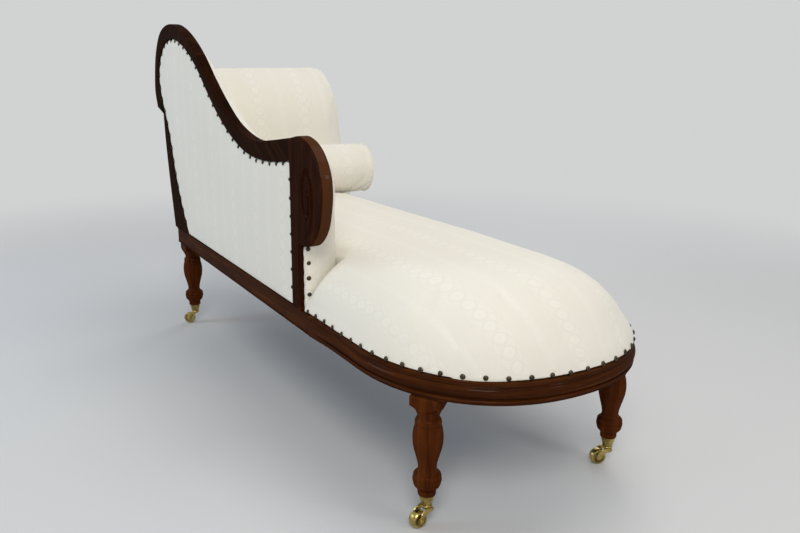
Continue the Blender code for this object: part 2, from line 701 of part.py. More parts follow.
def leg_mesh():
    """One leg at the origin: a square block with lamb's-tongue corners, turned below, tenoned above."""
    top_z = RAIL_BASE_Z - CLEARANCE
    half = LEG_BLOCK / 2
    block = box("leg_block", (-half, -half, LEG_NECK_Z), (half, half, top_z))
    flare = [(0.0, top_z + WOOD_EDGE), (LEG_BLOCK_SWELL, top_z + WOOD_EDGE)]
    flare.append((LEG_BLOCK_SWELL, LEG_BLOCK_BASE_Z))
    for out, down in LEG_FLARE_SHARES:
        radius = LEG_NECK_RADIUS + (half - LEG_NECK_RADIUS) * out
        flare.append((radius, LEG_BLOCK_BASE_Z - (LEG_BLOCK_BASE_Z - LEG_NECK_Z) * down))
    flare += [(LEG_NECK_RADIUS, LEG_NECK_Z - WOOD_EDGE), (0.0, LEG_NECK_Z - WOOD_EDGE)]
    swell = turned("leg_swell", flare, collection=CUTTERS)
    combine(block, finish(swell), "INTERSECT")
    block = baked(block)

    rim_z = CUP_TOP_Z
    turned_length = LEG_NECK_Z - rim_z
    shaft = [(LEG_RADIUS * wide, rim_z + turned_length * high) for wide, high in LEG_TURNING_SHARES]
    shaft = [(0.0, LEG_NECK_Z + WOOD_EDGE), (LEG_NECK_RADIUS, LEG_NECK_Z + WOOD_EDGE)] + shaft
    shaft[-1] = (shaft[-1][0], rim_z + CLEARANCE)
    shaft += [
        (SPIGOT_RADIUS, rim_z + CLEARANCE),
        (SPIGOT_RADIUS, rim_z - SPIGOT_LENGTH),
        (0.0, rim_z - SPIGOT_LENGTH),
    ]
    leg = turned("leg", shaft)
    tenon_base = (0.0, 0.0, top_z - WOOD_EDGE)
    tenon = cylinder("leg_tenon", LEG_TENON_RADIUS, tenon_base, LEG_TENON_LENGTH, SMALL_SIDES, CUTTERS)
    combine(leg, block, "UNION")
    combine(leg, finish(tenon), "UNION")
    leg = baked(leg)
    mesh = leg.data
    bpy.data.objects.remove(leg)
    bpy.data.objects.remove(block)
    return mesh


def legs(frame):
    """The four legs, and the mortises that their tenons fill in the beech rails."""
    mesh = leg_mesh()
    rails = {
        "foot_near": "seat_frame_foot",
        "foot_far": "seat_frame_foot",
        "head_near": "seat_frame_back",
        "head_far": "seat_frame_front",
    }
    mortise_radius = LEG_TENON_RADIUS + CLEARANCE
    mortise_length = LEG_TENON_LENGTH + WOOD_EDGE
    for name, place, turn in leg_places():
        leg = new_object(f"leg_{name}", mesh)
        leg.location = (place.x, place.y, 0.0)
        leg.rotation_euler = (0.0, 0.0, turn)
        finish(leg, MAHOGANY, math.radians(35))
        base = (place.x, place.y, RAIL_BASE_Z - WOOD_EDGE)
        cutter = cylinder(f"mortise_{name}", mortise_radius, base, mortise_length, SMALL_SIDES, CUTTERS)
        cut(frame[rails[name]], cutter)


def castor_meshes():
    """Cup, horn, axle and wheel of one castor, its swivel axis on Z and its trail along X."""
    bore = STEM_RADIUS + RUNNING_GAP
    bore_top = CUP_BASE_Z + STEM_LENGTH + CLEARANCE
    seat_z = CUP_TOP_Z - SPIGOT_LENGTH - CLEARANCE
    lip = CUP_WALL / 5
    cup = turned("cup", (
        (0.0, seat_z),
        (SPIGOT_RADIUS + CLEARANCE, seat_z),
        (SPIGOT_RADIUS + CLEARANCE, CUP_TOP_Z),
        (CUP_TOP_RADIUS, CUP_TOP_Z),
        (CUP_TOP_RADIUS + lip, CUP_TOP_Z - CUP_WALL / 2),
        (CUP_TOP_RADIUS - lip, CUP_TOP_Z - CUP_WALL),
        (CUP_BASE_RADIUS, CUP_BASE_Z + CUP_WALL),
        (CUP_BASE_RADIUS + lip, CUP_BASE_Z + CUP_WALL / 2),
        (CUP_BASE_RADIUS, CUP_BASE_Z),
        (bore, CUP_BASE_Z),
        (bore, bore_top),
        (0.0, bore_top),
    ), SMALL_SIDES)

    plate_top = CUP_BASE_Z - CLEARANCE
    plate_base = plate_top - HORN_PLATE_THICKNESS
    cheek_y = WHEEL_WIDTH / 2 + RUNNING_GAP + CHEEK_THICKNESS / 2
    rise = plate_top - WHEEL_RADIUS
    outline = [Vector((CASTOR_TRAIL * along, WHEEL_RADIUS + rise * up)) for along, up in CHEEK_SHARES]
    half_y = cheek_y + CHEEK_THICKNESS / 2
    horn = box("horn", (-HORN_PLATE_BACK, -half_y, plate_base), (HORN_PLATE_FRONT, half_y, plate_top))
    hub_base, stem_base = (0.0, 0.0, plate_base), (0.0, 0.0, plate_base + CLEARANCE)
    stem_length = STEM_LENGTH + HORN_PLATE_THICKNESS - CLEARANCE - CLEARANCE
    hub = cylinder("horn_hub", HORN_HUB_RADIUS, hub_base, HORN_PLATE_THICKNESS, SMALL_SIDES, CUTTERS)
    stem = cylinder("horn_stem", STEM_RADIUS, stem_base, stem_length, SMALL_SIDES, CUTTERS)
    cheeks = [
        plate(f"cheek_{name}", outline, CHEEK_THICKNESS, side * cheek_y, CUTTERS)
        for name, side in (("low", -1), ("high", 1))
    ]
    for piece in (hub, stem, *cheeks):
        combine(horn, finish(piece), "UNION")
    eye_radius, eye_base = AXLE_RADIUS + CLEARANCE, (0.0, 0.0, -WHEEL_WIDTH)
    eye = cylinder("axle_eye", eye_radius, eye_base, WHEEL_WIDTH + WHEEL_WIDTH, SMALL_SIDES, CUTTERS)
    eye.data.transform(Matrix.Rotation(math.pi / 2, 4, "X"))
    eye.data.transform(Matrix.Translation((CASTOR_TRAIL, 0.0, WHEEL_RADIUS)))
    cut(horn, eye)
    horn = baked(horn)

    head_base = half_y + CLEARANCE
    head_top = head_base + AXLE_HEAD_LENGTH
    axle = turned("axle", (
        (0.0, head_top),
        (AXLE_HEAD_RADIUS, head_top),
        (AXLE_HEAD_RADIUS, head_base),
        (AXLE_RADIUS, head_base),
        (AXLE_RADIUS, -head_base),
        (AXLE_HEAD_RADIUS, -head_base),
        (AXLE_HEAD_RADIUS, -head_top),
        (0.0, -head_top),
    ), SMALL_SIDES)

    half_width, half_tread = WHEEL_WIDTH / 2, WHEEL_TREAD / 2
    bore = AXLE_RADIUS + RUNNING_GAP
    shoulder = WHEEL_RADIUS - WHEEL_EDGE_DROP
    rim = WHEEL_RADIUS / math.cos(math.pi / TURNED_SIDES)
    web = half_width - RUNNING_GAP * 3
    wheel = turned("wheel", (
        (bore, half_width),
        (AXLE_HEAD_RADIUS + RUNNING_GAP * 4, half_width),
        (AXLE_HEAD_RADIUS + RUNNING_GAP * 5, web),
        (shoulder - WHEEL_EDGE_DROP / 2, web),
        (shoulder, web),
        (rim, half_tread),
        (rim, -half_tread),
        (shoulder, -web),
        (shoulder - WHEEL_EDGE_DROP / 2, -web),
        (AXLE_HEAD_RADIUS + RUNNING_GAP * 5, -web),
        (AXLE_HEAD_RADIUS + RUNNING_GAP * 4, -half_width),
        (bore, -half_width),
        (bore, half_width),
    ))
    return {"cup": cup, "horn": horn, "axle": axle, "wheel": wheel}


def castors():
    """A brass cup on each leg, with a fork that swivels under it and a wheel on an axle."""
    pieces = castor_meshes()
    meshes = {name: piece.data for name, piece in pieces.items()}
    for piece in pieces.values():
        bpy.data.objects.remove(piece)
    flat_down = Matrix.Rotation(math.pi / TURNED_SIDES, 4, "Z")
    lay = Matrix.Rotation(math.pi / 2, 4, "X")
    meshes["wheel"].transform(lay @ flat_down)
    meshes["axle"].transform(lay)
    for name, place, _ in leg_places():
        swivel = bpy.data.objects.new(f"swivel_axis_{name}", None)
        PARTS.objects.link(swivel)
        swivel.location = (place.x, place.y, 0.0)
        swivel.rotation_euler = (0.0, 0.0, math.radians(CASTOR_TURNS[name]))
        cup = new_object(f"castor_cup_{name}", meshes["cup"])
        cup.location = (place.x, place.y, 0.0)
        horn = new_object(f"castor_horn_{name}", meshes["horn"])
        horn.parent = swivel
        axle = new_object(f"castor_axle_{name}", meshes["axle"])
        wheel = new_object(f"castor_wheel_{name}", meshes["wheel"])
        for piece in (axle, wheel):
            piece.parent = swivel
            piece.location = (CASTOR_TRAIL, 0.0, WHEEL_RADIUS)
        for piece in (cup, horn, axle, wheel):
            finish(piece, BRASS, math.radians(40))


def on_head(share):
    low_x = HEAD_X + ROLL_SET_IN
    return Vector((low_x + share[0] * HEAD_REACH, RAIL_TOP_Z + share[1] * (HEAD_ROLL_TOP_Z - RAIL_TOP_Z)))


def head_back_run(depth):
    """The head's outer line, set in by a depth, from the step down to the rail."""
    run = [Vector((x + depth, z)) for x, z in stile_outer_run()][::-1]
    return lifted(run, RAIL_TOP_Z + CLEARANCE)


def head_face_run(grow=0.0):
    """The head pad's face and roll, from the rail to the step, grown outward."""
    foot_z = RAIL_TOP_Z + CLEARANCE - grow
    return lifted(shifted(smooth_run([on_head(share) for share in HEAD_FACE_SHARES]), -grow), foot_z)


def head_outline():
    """Outline of the head pad: its face and roll, then its back against the uprights."""
    back = head_back_run(HEAD_PANEL_THICKNESS + UPRIGHT_DEPTH + CLEARANCE * 2)
    back[0].y += CLEARANCE * 2
    under = back[0] - Vector((HEAD_PANEL_THICKNESS + UPRIGHT_DEPTH, 0.0))
    return head_face_run() + [under] + back


def head_clearance():
    """A cutter that fills the whole head behind its face, a clearance larger."""
    outline = head_face_run(CLEARANCE)
    behind_x = HEAD_X - RAIL_THICKNESS
    step_z = RAIL_TOP_Z + HEAD_STEP_SHARE * BACK_RISE
    outline += [Vector((behind_x, step_z)), Vector((behind_x, outline[0].y))]
    return finish(plate("head_clearance", outline, OVERALL_WIDTH, 0.0, CUTTERS))


def head_end():
    """The raked head: beech uprights and top bar, outside panel, rolled pad and its end facing."""
    near_y = BOARD_INNER_Y + CLEARANCE
    far_y = SIDE_Y - HEAD_END_SET_IN
    panel_outer, panel_inner = head_back_run(0.0), head_back_run(HEAD_PANEL_THICKNESS)
    panel = plate(
        "outside_head_panel", panel_outer + panel_inner[::-1], far_y - near_y, (near_y + far_y) / 2
    )
    finish(rounded(panel, PANEL_EDGE, 1, math.radians(70)), DAMASK)

    front = head_back_run(HEAD_PANEL_THICKNESS + CLEARANCE)
    back = head_back_run(HEAD_PANEL_THICKNESS + UPRIGHT_DEPTH)
    spans = {"back": near_y, "front": far_y - UPRIGHT_WIDTH}
    for name, low_y in spans.items():
        upright = plate(f"head_upright_{name}", front + back[::-1], UPRIGHT_WIDTH, low_y + UPRIGHT_WIDTH / 2)
        finish(upright, BEECH)
    bar_top = front[0].y
    bar_base = bar_top - HEAD_TOP_BAR_DEPTH
    bar = box(
        "head_top_bar",
        (x_at(front, bar_base), near_y + UPRIGHT_WIDTH + CLEARANCE, bar_base),
        (back[0].x, far_y - UPRIGHT_WIDTH - CLEARANCE, bar_top),
    )
    finish(bar, BEECH)

    def give(start, end):
        on_rail = max(start.y, end.y) < RAIL_TOP_Z + CLEARANCE * 2
        low = max(start.y, end.y) < bar_top + CLEARANCE * 4
        on_frame = low and max(start.x, end.x) < x_at(back, (start.y + end.y) / 2) + WOOD_EDGE
        return 0.0 if on_rail or on_frame else 1.0

    pad = pillow("head_pad", head_outline(), near_y, far_y, HEAD_END_DEPTH, HEAD_END_ROUND, give)
    finish(pad, DAMASK, math.radians(60))

    inner = smooth_run([on_head(share) for share in FACING_SHARES], 2)
    outline = lifted(inner, RAIL_TOP_Z + CLEARANCE) + head_back_run(PANEL_EDGE)[1:]
    facing = plate("head_end_facing", outline, FACING_THICKNESS, far_y + CLEARANCE + FACING_THICKNESS / 2)
    finish(rounded(facing, PANEL_EDGE, 1), DAMASK, math.radians(60))


def back_pad_outline():
    """The inside back pad's outline: the frame's opening and a little over, down to the rail."""
    run = shifted(frame_inner_run(), -BACK_PAD_OVERLAP)
    foot_z = RAIL_TOP_Z + CLEARANCE
    end_x = POST_FRONT_X + BACK_PAD_FRONT_LIP
    run = [Vector((x, max(z, foot_z))) for x, z in run]
    start = Vector((end_x, run[0].y))
    return [start] + run + [Vector((end_x, foot_z))]


def inside_back_pad(head):
    """The pad along the inside of the back, wrapped round the post's front edge."""
    back_y = BOARD_INNER_Y + CLEARANCE

    def give(start, end):
        if max(start.y, end.y) < RAIL_TOP_Z + CLEARANCE * 2:
            return 0.0
        return BACK_PAD_END_SHARE if min(start.x, end.x) > POST_FRONT_X else 1.0

    outline = back_pad_outline()
    pad = pillow("inside_back_pad", outline, back_y, BACK_PAD_FACE_Y, BACK_PAD_DEPTH, BACK_PAD_ROUND, give)
    lip_low = (POST_FRONT_X + CLEARANCE, -SIDE_Y + BOARD_EDGE_LEFT_BARE, RAIL_TOP_Z + CLEARANCE)
    heel_z = RAIL_TOP_Z + SCROLL_HEEL_SHARE * BACK_RISE - BOARD_EDGE
    lip_high = (POST_FRONT_X + BACK_PAD_FRONT_LIP, back_y + BACK_PAD_THICKNESS / 3, heel_z)
    lip = box("pad_lip", lip_low, lip_high, CUTTERS)
    combine(pad, finish(rounded(lip, BOARD_EDGE, 1)), "UNION")
    cut(pad, head)
    finish(pad, DAMASK, math.radians(60))


def seat_half_ring(share):
    """One U-shaped line of the seat's dome, at a share of the way out from its middle line."""
    half_width = (SIDE_Y - SEAT_EDGE_SET_IN) * share
    half_length = (FOOT_CURVE_LENGTH - SEAT_EDGE_SET_IN) * share
    start_x = HEAD_END_X + BEECH_INNER
    straight, arc = SEAT_STRAIGHT_STATIONS, SEAT_ARC_STATIONS
    line = []
    for i in range(straight):
        line.append(Vector((start_x + (CURVE_START_X - start_x) * i / straight, -half_width)))
    for i in range(arc + 1):
        angle = math.pi * (i / arc - 0.5)
        across, along = math.sin(angle), math.cos(angle)
        x = half_length * abs(along) ** (2 / FOOT_ROUNDNESS)
        y = half_width * math.copysign(abs(across) ** (2 / FOOT_ROUNDNESS), across)
        line.append(Vector((CURVE_START_X + x, y)))
    return line + [Vector((point.x, half_width)) for point in line[straight - 1 :: -1]]


def seat_height(x, share):
    toward_foot = (x - HEAD_END_X) / (FOOT_X - HEAD_END_X)
    risen = min(1.0, toward_foot / SEAT_CROWN_RISE_SHARE)
    crown = SEAT_CROWN_HEAD + (SEAT_CROWN_FOOT - SEAT_CROWN_HEAD) * risen
    base = RAIL_TOP_Z + SEAT_EDGE_SET_IN
    return base + crown * (1.0 - share**SEAT_DOME_POWER) ** SEAT_DOME_ROOT


def seat_pad(head):
    """The crowned seat: a dome over the rails, cut to fit the back pad and the head."""
    shape = bmesh.new()
    rows = []
    for share in SEAT_RING_SHARES:
        line = seat_half_ring(share)
        rows.append([shape.verts.new((p.x, p.y, seat_height(p.x, share))) for p in line])
    foot_z = RAIL_TOP_Z + CLEARANCE
    base = [shape.verts.new((p.x, p.y, foot_z)) for p in seat_half_ring(1.0)]
    for outer, inner in zip([base] + rows, rows):
        for i in range(len(inner) - 1):
            shape.faces.new((outer[i], outer[i + 1], inner[i + 1], inner[i]))
    end = [base[0]] + [row[0] for row in rows] + [row[-1] for row in rows[-2::-1]] + [base[-1]]
    shape.faces.new(end)
    shape.faces.new(base)
    bmesh.ops.remove_doubles(shape, verts=shape.verts, dist=CLEARANCE / 3)
    bmesh.ops.recalc_face_normals(shape, faces=shape.faces)
    pad = from_bmesh("seat_pad", shape)
    post_gap = box(
        "post_clearance",
        (HEAD_X, -SIDE_Y - RAIL_THICKNESS, RAIL_BASE_Z),
        (POST_FRONT_X + BACK_PAD_FRONT_LIP + CLEARANCE, BACK_PAD_FACE_Y + CLEARANCE, BACK_TOP_Z),
        CUTTERS,
    )
    cut(pad, post_gap, head, bolster_roll("bolster_hollow", CLEARANCE, CUTTERS))
    finish(pad, DAMASK, math.radians(60))


def seat_support():
    """Hessian deck on serpentine springs between the beech rails, and the black cloth under them."""
    inner_y = SIDE_Y - BEECH_INNER - CLEARANCE
    start_x = HEAD_END_X + BEECH_INNER + CLEARANCE
    inner_path = [point for point, _ in foot_path(BEECH_INNER + CLEARANCE)]
    outline = [Vector((start_x, -inner_y))] + inner_path + [Vector((start_x, inner_y))]
    deck_top = RAIL_TOP_Z - CLEARANCE
    deck = sheet("hessian_deck", outline, deck_top - DECK_THICKNESS, DECK_THICKNESS)
    finish(deck, HESSIAN)

    cloth_inset = RAIL_THICKNESS + CLEARANCE
    cloth_x = HEAD_END_X + cloth_inset
    cloth_y = SIDE_Y - cloth_inset
    cloth_path = [point for point, _ in foot_path(cloth_inset)]
    outline = [Vector((cloth_x, -cloth_y))] + cloth_path + [Vector((cloth_x, cloth_y))]
    cloth = sheet("bottoming_cloth", outline, RAIL_BASE_Z - CLEARANCE - DECK_THICKNESS, DECK_THICKNESS)
    half = LEG_BLOCK / 2 + CLEARANCE * 3
    for name, place, turn in leg_places():
        hole = box(f"cloth_hole_{name}", (-half, -half, -half), (half, half, half), CUTTERS)
        hole.data.transform(Matrix.Rotation(turn, 4, "Z"))
        hole.data.transform(Matrix.Translation((place.x, place.y, RAIL_BASE_Z)))
        cut(cloth, hole)
    finish(cloth, BLACK_CLOTH)

    low_x = HEAD_END_X + SPRING_END_MARGIN
    step = (FOOT_X - SPRING_END_MARGIN - low_x) / (SPRING_COUNT - 1)
    for i in range(SPRING_COUNT):
        serpentine_spring(f"seat_spring_{i + 1}", low_x + i * step, deck_top - DECK_THICKNESS)


def sheet(name, outline, base_z, thickness):
    shape = bmesh.new()
    face = shape.faces.new([shape.verts.new((p.x, p.y, base_z)) for p in outline])
    raised = bmesh.ops.extrude_face_region(shape, geom=[face])["geom"]
    points = [item for item in raised if isinstance(item, bmesh.types.BMVert)]
    bmesh.ops.translate(shape, verts=points, vec=(0.0, 0.0, thickness))
    bmesh.ops.recalc_face_normals(shape, faces=shape.faces)
    return from_bmesh(name, shape)


def inner_half_width(x):
    """Half the clear width between the beech rails at this place along the seat."""
    if x <= CURVE_START_X:
        return SIDE_Y - BEECH_INNER
    path = [point for point, _ in foot_path(BEECH_INNER) if point.y >= 0.0]
    before, after = min(zip(path, path[1:]), key=lambda pair: abs((pair[0].x + pair[1].x) / 2 - x))
    share = (x - before.x) / (after.x - before.x)
    return before.y + (after.y - before.y) * share


def serpentine_spring(name, x, top_z):
    """A wire bent to and fro across the seat, its two ends running straight into the rails."""
    reach = inner_half_width(x + SPRING_WIRE_RADIUS * 2) - CLEARANCE
    tail = SPRING_HALF_WIDTH / 2
    run = reach - tail
    total = SPRING_LOOPS * SPRING_POINTS_PER_LOOP // 2
    points = [Vector((x, -reach))]
    for i in range(total + 1):
        share = i / total
        swing = math.sin(share * SPRING_LOOPS * math.pi)
        points.append(Vector((x + SPRING_HALF_WIDTH * swing, -run + 2 * run * share)))
    points.append(Vector((x, reach)))
    curve = bpy.data.curves.new(name, "CURVE")
    curve.dimensions = "3D"
    curve.bevel_depth = SPRING_WIRE_RADIUS
    curve.bevel_resolution = 0
    curve.use_fill_caps = True
    spline = curve.splines.new("POLY")
    spline.points.add(len(points) - 1)
    for point, place in zip(spline.points, points):
        point.co = (place.x, place.y, top_z - SPRING_WIRE_RADIUS - CLEARANCE, 1.0)
    finish(new_object(name, curve), STEEL)


def bolster_roll(name, grow=0.0, collection=None):
    """The round bolster, its ends drawn in to a flat gathered disc, grown by a clearance for its hollow."""
    half = BOLSTER_LENGTH / 2 + grow
    radius, corner = BOLSTER_RADIUS + grow, BOLSTER_END_ROUND
    end = [(radius * out, half - BOLSTER_END_CROWN * drawn) for out, drawn in BOLSTER_END_SHARES]
    for i in range(3):
        angle = math.radians(20 + 30 * i)
        rise = corner * (1 - math.cos(angle)) + BOLSTER_END_CROWN / 4
        end.append((radius - corner + corner * math.sin(angle), half - rise))
    body = end + [(radius, half - corner * 2)]
    roll = turned(name, body + [(r, -y) for r, y in reversed(body)], BOLSTER_SIDES, collection)
    roll.data.transform(Matrix.Rotation(math.pi / 2, 4, "X"))
    x = HEAD_END_X + BOLSTER_FROM_HEAD_END
    y = BACK_PAD_FACE_Y + CLEARANCE * 3 + BOLSTER_LENGTH / 2
    roll.location = (x, y, seat_height(x, 0.0) - BOLSTER_SINK + BOLSTER_RADIUS)
    return roll


def main():
    show_wood_back()
    outside_back_panel()
    show_wood_rails()
    frame = beech_frame()
    legs(frame)
    castors()
    head_end()
    head = head_clearance()
    inside_back_pad(head)
    seat_pad(head)
    seat_support()
    finish(bolster_roll("bolster"), DAMASK, math.radians(50))


main()
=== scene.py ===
import math
import random

import bmesh
import bpy
import numpy as np
from mathutils import Matrix, Vector
from mathutils.geometry import delaunay_2d_cdt, interpolate_bezier


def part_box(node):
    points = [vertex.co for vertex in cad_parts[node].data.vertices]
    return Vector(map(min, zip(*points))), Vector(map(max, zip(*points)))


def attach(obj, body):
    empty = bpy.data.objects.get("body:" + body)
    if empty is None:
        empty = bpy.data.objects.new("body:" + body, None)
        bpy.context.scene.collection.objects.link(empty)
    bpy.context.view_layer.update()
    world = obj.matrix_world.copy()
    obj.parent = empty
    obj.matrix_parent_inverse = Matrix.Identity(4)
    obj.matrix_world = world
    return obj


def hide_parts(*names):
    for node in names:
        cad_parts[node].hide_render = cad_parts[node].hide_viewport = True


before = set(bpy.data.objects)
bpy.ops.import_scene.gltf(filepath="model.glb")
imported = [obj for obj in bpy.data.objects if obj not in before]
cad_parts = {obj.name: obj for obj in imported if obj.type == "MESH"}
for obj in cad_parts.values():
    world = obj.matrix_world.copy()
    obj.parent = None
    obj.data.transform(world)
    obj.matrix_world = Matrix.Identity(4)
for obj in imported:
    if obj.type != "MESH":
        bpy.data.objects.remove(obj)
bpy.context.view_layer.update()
print("frame loaded with", len(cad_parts), "nodes")

# Sizes of the chaise that several pieces share, in metres. x runs from the head to the rounded foot,
# y from the show-wood back to the open side.
chaise = {
    "length": 1.848, "width": 0.660, "backTop": 1.022, "railTop": 0.345, "railDepth": 0.050,
    "railThick": 0.018, "footCurve": 0.349, "footRound": 2.2, "headOverhang": 0.175, "gap": 0.0003,
    "boardThick": 0.030, "postWidth": 0.045, "scrollWidth": 0.177, "crestSpan": 1.171,
    "padThick": 0.076, "padLip": 0.012, "seatSetIn": 0.006, "nailPitch": 0.044,
}
headX = -chaise["length"] / 2
footX = chaise["length"] / 2
sideY = chaise["width"] / 2
railTop = chaise["railTop"]
railBase = railTop - chaise["railDepth"]
backRise = chaise["backTop"] - railTop
headEndX = headX + chaise["headOverhang"]
curveStartX = footX - chaise["footCurve"]
postX = headX + chaise["crestSpan"]
postFrontX = postX + chaise["postWidth"]
lipX = postFrontX + chaise["padLip"]
boardInnerY = -sideY + chaise["boardThick"]
padFaceY = boardInnerY + chaise["gap"] + chaise["padThick"]
seatBase = railTop + chaise["gap"]
farOff = 9.0


# Runs and outlines

def smoothRun(knots, steps):
    knots = [Vector(k) for k in knots]
    spans = [(b - a).length for a, b in zip(knots, knots[1:])]
    slopes = [(knots[1] - knots[0]) / spans[0]]
    for i in range(1, len(knots) - 1):
        before = (knots[i] - knots[i - 1]) / spans[i - 1]
        after = (knots[i + 1] - knots[i]) / spans[i]
        slopes.append((before * spans[i] + after * spans[i - 1]) / (spans[i - 1] + spans[i]))
    slopes.append((knots[-1] - knots[-2]) / spans[-1])
    run = []
    for i, span in enumerate(spans):
        a, b = knots[i], knots[i + 1]
        leave, arrive = a + slopes[i] * span / 3, b - slopes[i + 1] * span / 3
        run += interpolate_bezier(a, leave, arrive, b, steps + 1)[:-1]
    return [Vector(p[:2]) for p in run] + [knots[-1].copy()]


def shifted(run, distance):
    moved = []
    for i, p in enumerate(run):
        along = (run[min(i + 1, len(run) - 1)] - run[max(i - 1, 0)]).normalized()
        moved.append(p + distance * Vector((-along.y, along.x)))
    return moved


def lifted(run, height):
    return [Vector((x, max(z, height))) for x, z in run]


# Points at an even pitch along a run
def evenRun(run, pitch):
    lengths = [0.0]
    for a, b in zip(run, run[1:]):
        lengths.append(lengths[-1] + (b - a).length)
    count = max(2, round(lengths[-1] / pitch))
    out, k = [], 0
    for i in range(count + 1):
        goal = lengths[-1] * i / count
        while k < len(run) - 2 and lengths[k + 1] < goal:
            k += 1
        span = lengths[k + 1] - lengths[k]
        out.append(run[k].lerp(run[k + 1], 0.0 if span < 1e-9 else (goal - lengths[k]) / span))
    return out


# The closed outline with every side moved inward by its own distance
def inset(outline, distances):
    count = len(outline)
    area = sum(a.x * b.y - b.x * a.y for a, b in zip(outline, outline[1:] + outline[:1]))
    turn = math.copysign(1.0, area)
    sides = [(outline[(i + 1) % count] - outline[i]).normalized() for i in range(count)]
    inward = [Vector((-s.y, s.x)) * turn for s in sides]
    moved = []
    for i, p in enumerate(outline):
        a, b, near, far = inward[i - 1], inward[i], distances[i - 1], distances[i]
        crossing = a.x * b.y - a.y * b.x
        if abs(crossing) < 0.2:
            moved.append(p + (a + b).normalized() * (near + far) / 2)
        else:
            moved.append(p + Vector((near * b.y - far * a.y, far * a.x - near * b.x)) / crossing)
    return moved


def onCrest(share):
    return Vector((headX + share[0] * chaise["crestSpan"], railTop + share[1] * backRise))


def onScroll(share):
    return Vector((postX + share[0] * chaise["scrollWidth"], railTop + share[1] * backRise))


crestShares = (
    (0.0751, 0.5657), (0.0162, 0.5923), (0.0, 0.6721), (0.0077, 0.7578), (0.0342, 0.8671),
    (0.0897, 0.9616), (0.158, 0.997), (0.2092, 1.0), (0.2775, 0.9793), (0.3501, 0.9335),
    (0.4227, 0.8671), (0.5004, 0.771), (0.585, 0.6795), (0.6678, 0.6086), (0.7387, 0.5761),
    (0.8113, 0.5613), (0.9009, 0.579), (1.0, 0.6041),
)
scrollShares = (
    (0.36, 0.6175), (0.76, 0.577), (0.97, 0.500), (1.0, 0.450), (0.97, 0.390), (0.89, 0.325), (0.615, 0.2555),
)
innerShares = (
    (1.0, 0.5244), (0.9351, 0.5081), (0.8284, 0.4948), (0.7558, 0.5037), (0.6652, 0.5465),
    (0.5807, 0.6145), (0.4996, 0.7046), (0.4236, 0.8006), (0.357, 0.8641), (0.2699, 0.9173),
    (0.1921, 0.9321), (0.1161, 0.8996), (0.0632, 0.8213), (0.0444, 0.7386), (0.0572, 0.6499),
    (0.0863, 0.5657), (0.1204, 0.452), (0.1537, 0.288), (0.1921, 0.1551), (0.2545, 0.0),
)
stileShares = ((0.1307, 0.0), (0.1008, 0.2334), (0.0811, 0.4357), (0.0751, 0.5657))
headShares = (
    (0.99, 0.0), (0.963, 0.157), (0.856, 0.324), (0.7215, 0.472), (0.668, 0.583), (0.6275, 0.681),
    (0.5638, 0.78), (0.47, 0.865), (0.359, 0.926), (0.258, 0.9685), (0.151, 1.0), (0.057, 0.9685),
    (0.0, 0.889), (0.0235, 0.8056), (0.1, 0.7537), (0.201, 0.7296),
)
facingShares = (
    (0.86, 0.0), (0.84, 0.157), (0.735, 0.324), (0.605, 0.472), (0.55, 0.583), (0.51, 0.681),
    (0.45, 0.77), (0.37, 0.83), (0.29, 0.868), (0.21, 0.885), (0.15, 0.875), (0.115, 0.84),
    (0.115, 0.79), (0.16, 0.755), (0.255, 0.735),
)
runSteps = 8
scrollHeel = 0.239


def frameOuterRun():
    heel = Vector((postFrontX, railTop + scrollHeel * backRise))
    step, *rest = [onCrest(s) for s in crestShares]
    return [step] + smoothRun(rest + [onScroll(s) for s in scrollShares] + [heel], runSteps)


def frameInnerRun():
    return smoothRun([onCrest(s) for s in innerShares], runSteps)


def stileOuterRun():
    return smoothRun([onCrest(s) for s in stileShares], runSteps)


def headBackRun(depth):
    return lifted([Vector((x + depth, z)) for x, z in stileOuterRun()][::-1], railTop + chaise["gap"])


def onHead(share):
    return Vector((headX + 0.010 + share[0] * 0.298, railTop + share[1] * 0.540))


def headFaceRun(steps=runSteps):
    return lifted(smoothRun([onHead(s) for s in headShares], steps), railTop + chaise["gap"])


# The rounded foot in plan: (point, outward direction) pairs
def footRun(cutIn, steps=96):
    longHalf, wideHalf, power = chaise["footCurve"], sideY, chaise["footRound"]
    run = []
    for i in range(steps + 1):
        angle = math.pi * (i / steps - 0.5)
        across, along = math.sin(angle), math.cos(angle)
        x = longHalf * abs(along) ** (2 / power)
        y = wideHalf * math.copysign(abs(across) ** (2 / power), across)
        out = Vector((
            abs(x / longHalf) ** (power - 1) / longHalf,
            math.copysign(abs(y / wideHalf) ** (power - 1), y) / wideHalf,
        )).normalized()
        if i in (0, steps):
            out = Vector((0.0, math.copysign(1.0, across)))
        run.append((Vector((curveStartX + x, y)) - out * cutIn, out))
    return run


# Meshes

# Smooth shading, with a hard line wherever two faces meet at more than the corner's angle
def finished(piece, finish, corner):
    piece.data.materials.append(finish)
    piece.data.shade_smooth()
    piece.data.set_sharp_from_angle(angle=math.radians(corner))
    return piece


def makePiece(name, points, faces, finish, corner):
    mesh = bpy.data.meshes.new(name)
    mesh.from_pydata([tuple(p) for p in points], [], faces)
    mesh.update()
    piece = bpy.data.objects.new(name, mesh)
    bpy.context.scene.collection.objects.link(piece)
    turnOutward(piece)
    return finished(piece, finish, corner)


def turnOutward(piece):
    shape = bmesh.new()
    shape.from_mesh(piece.data)
    bmesh.ops.recalc_face_normals(shape, faces=shape.faces)
    shape.to_mesh(piece.data)
    shape.free()


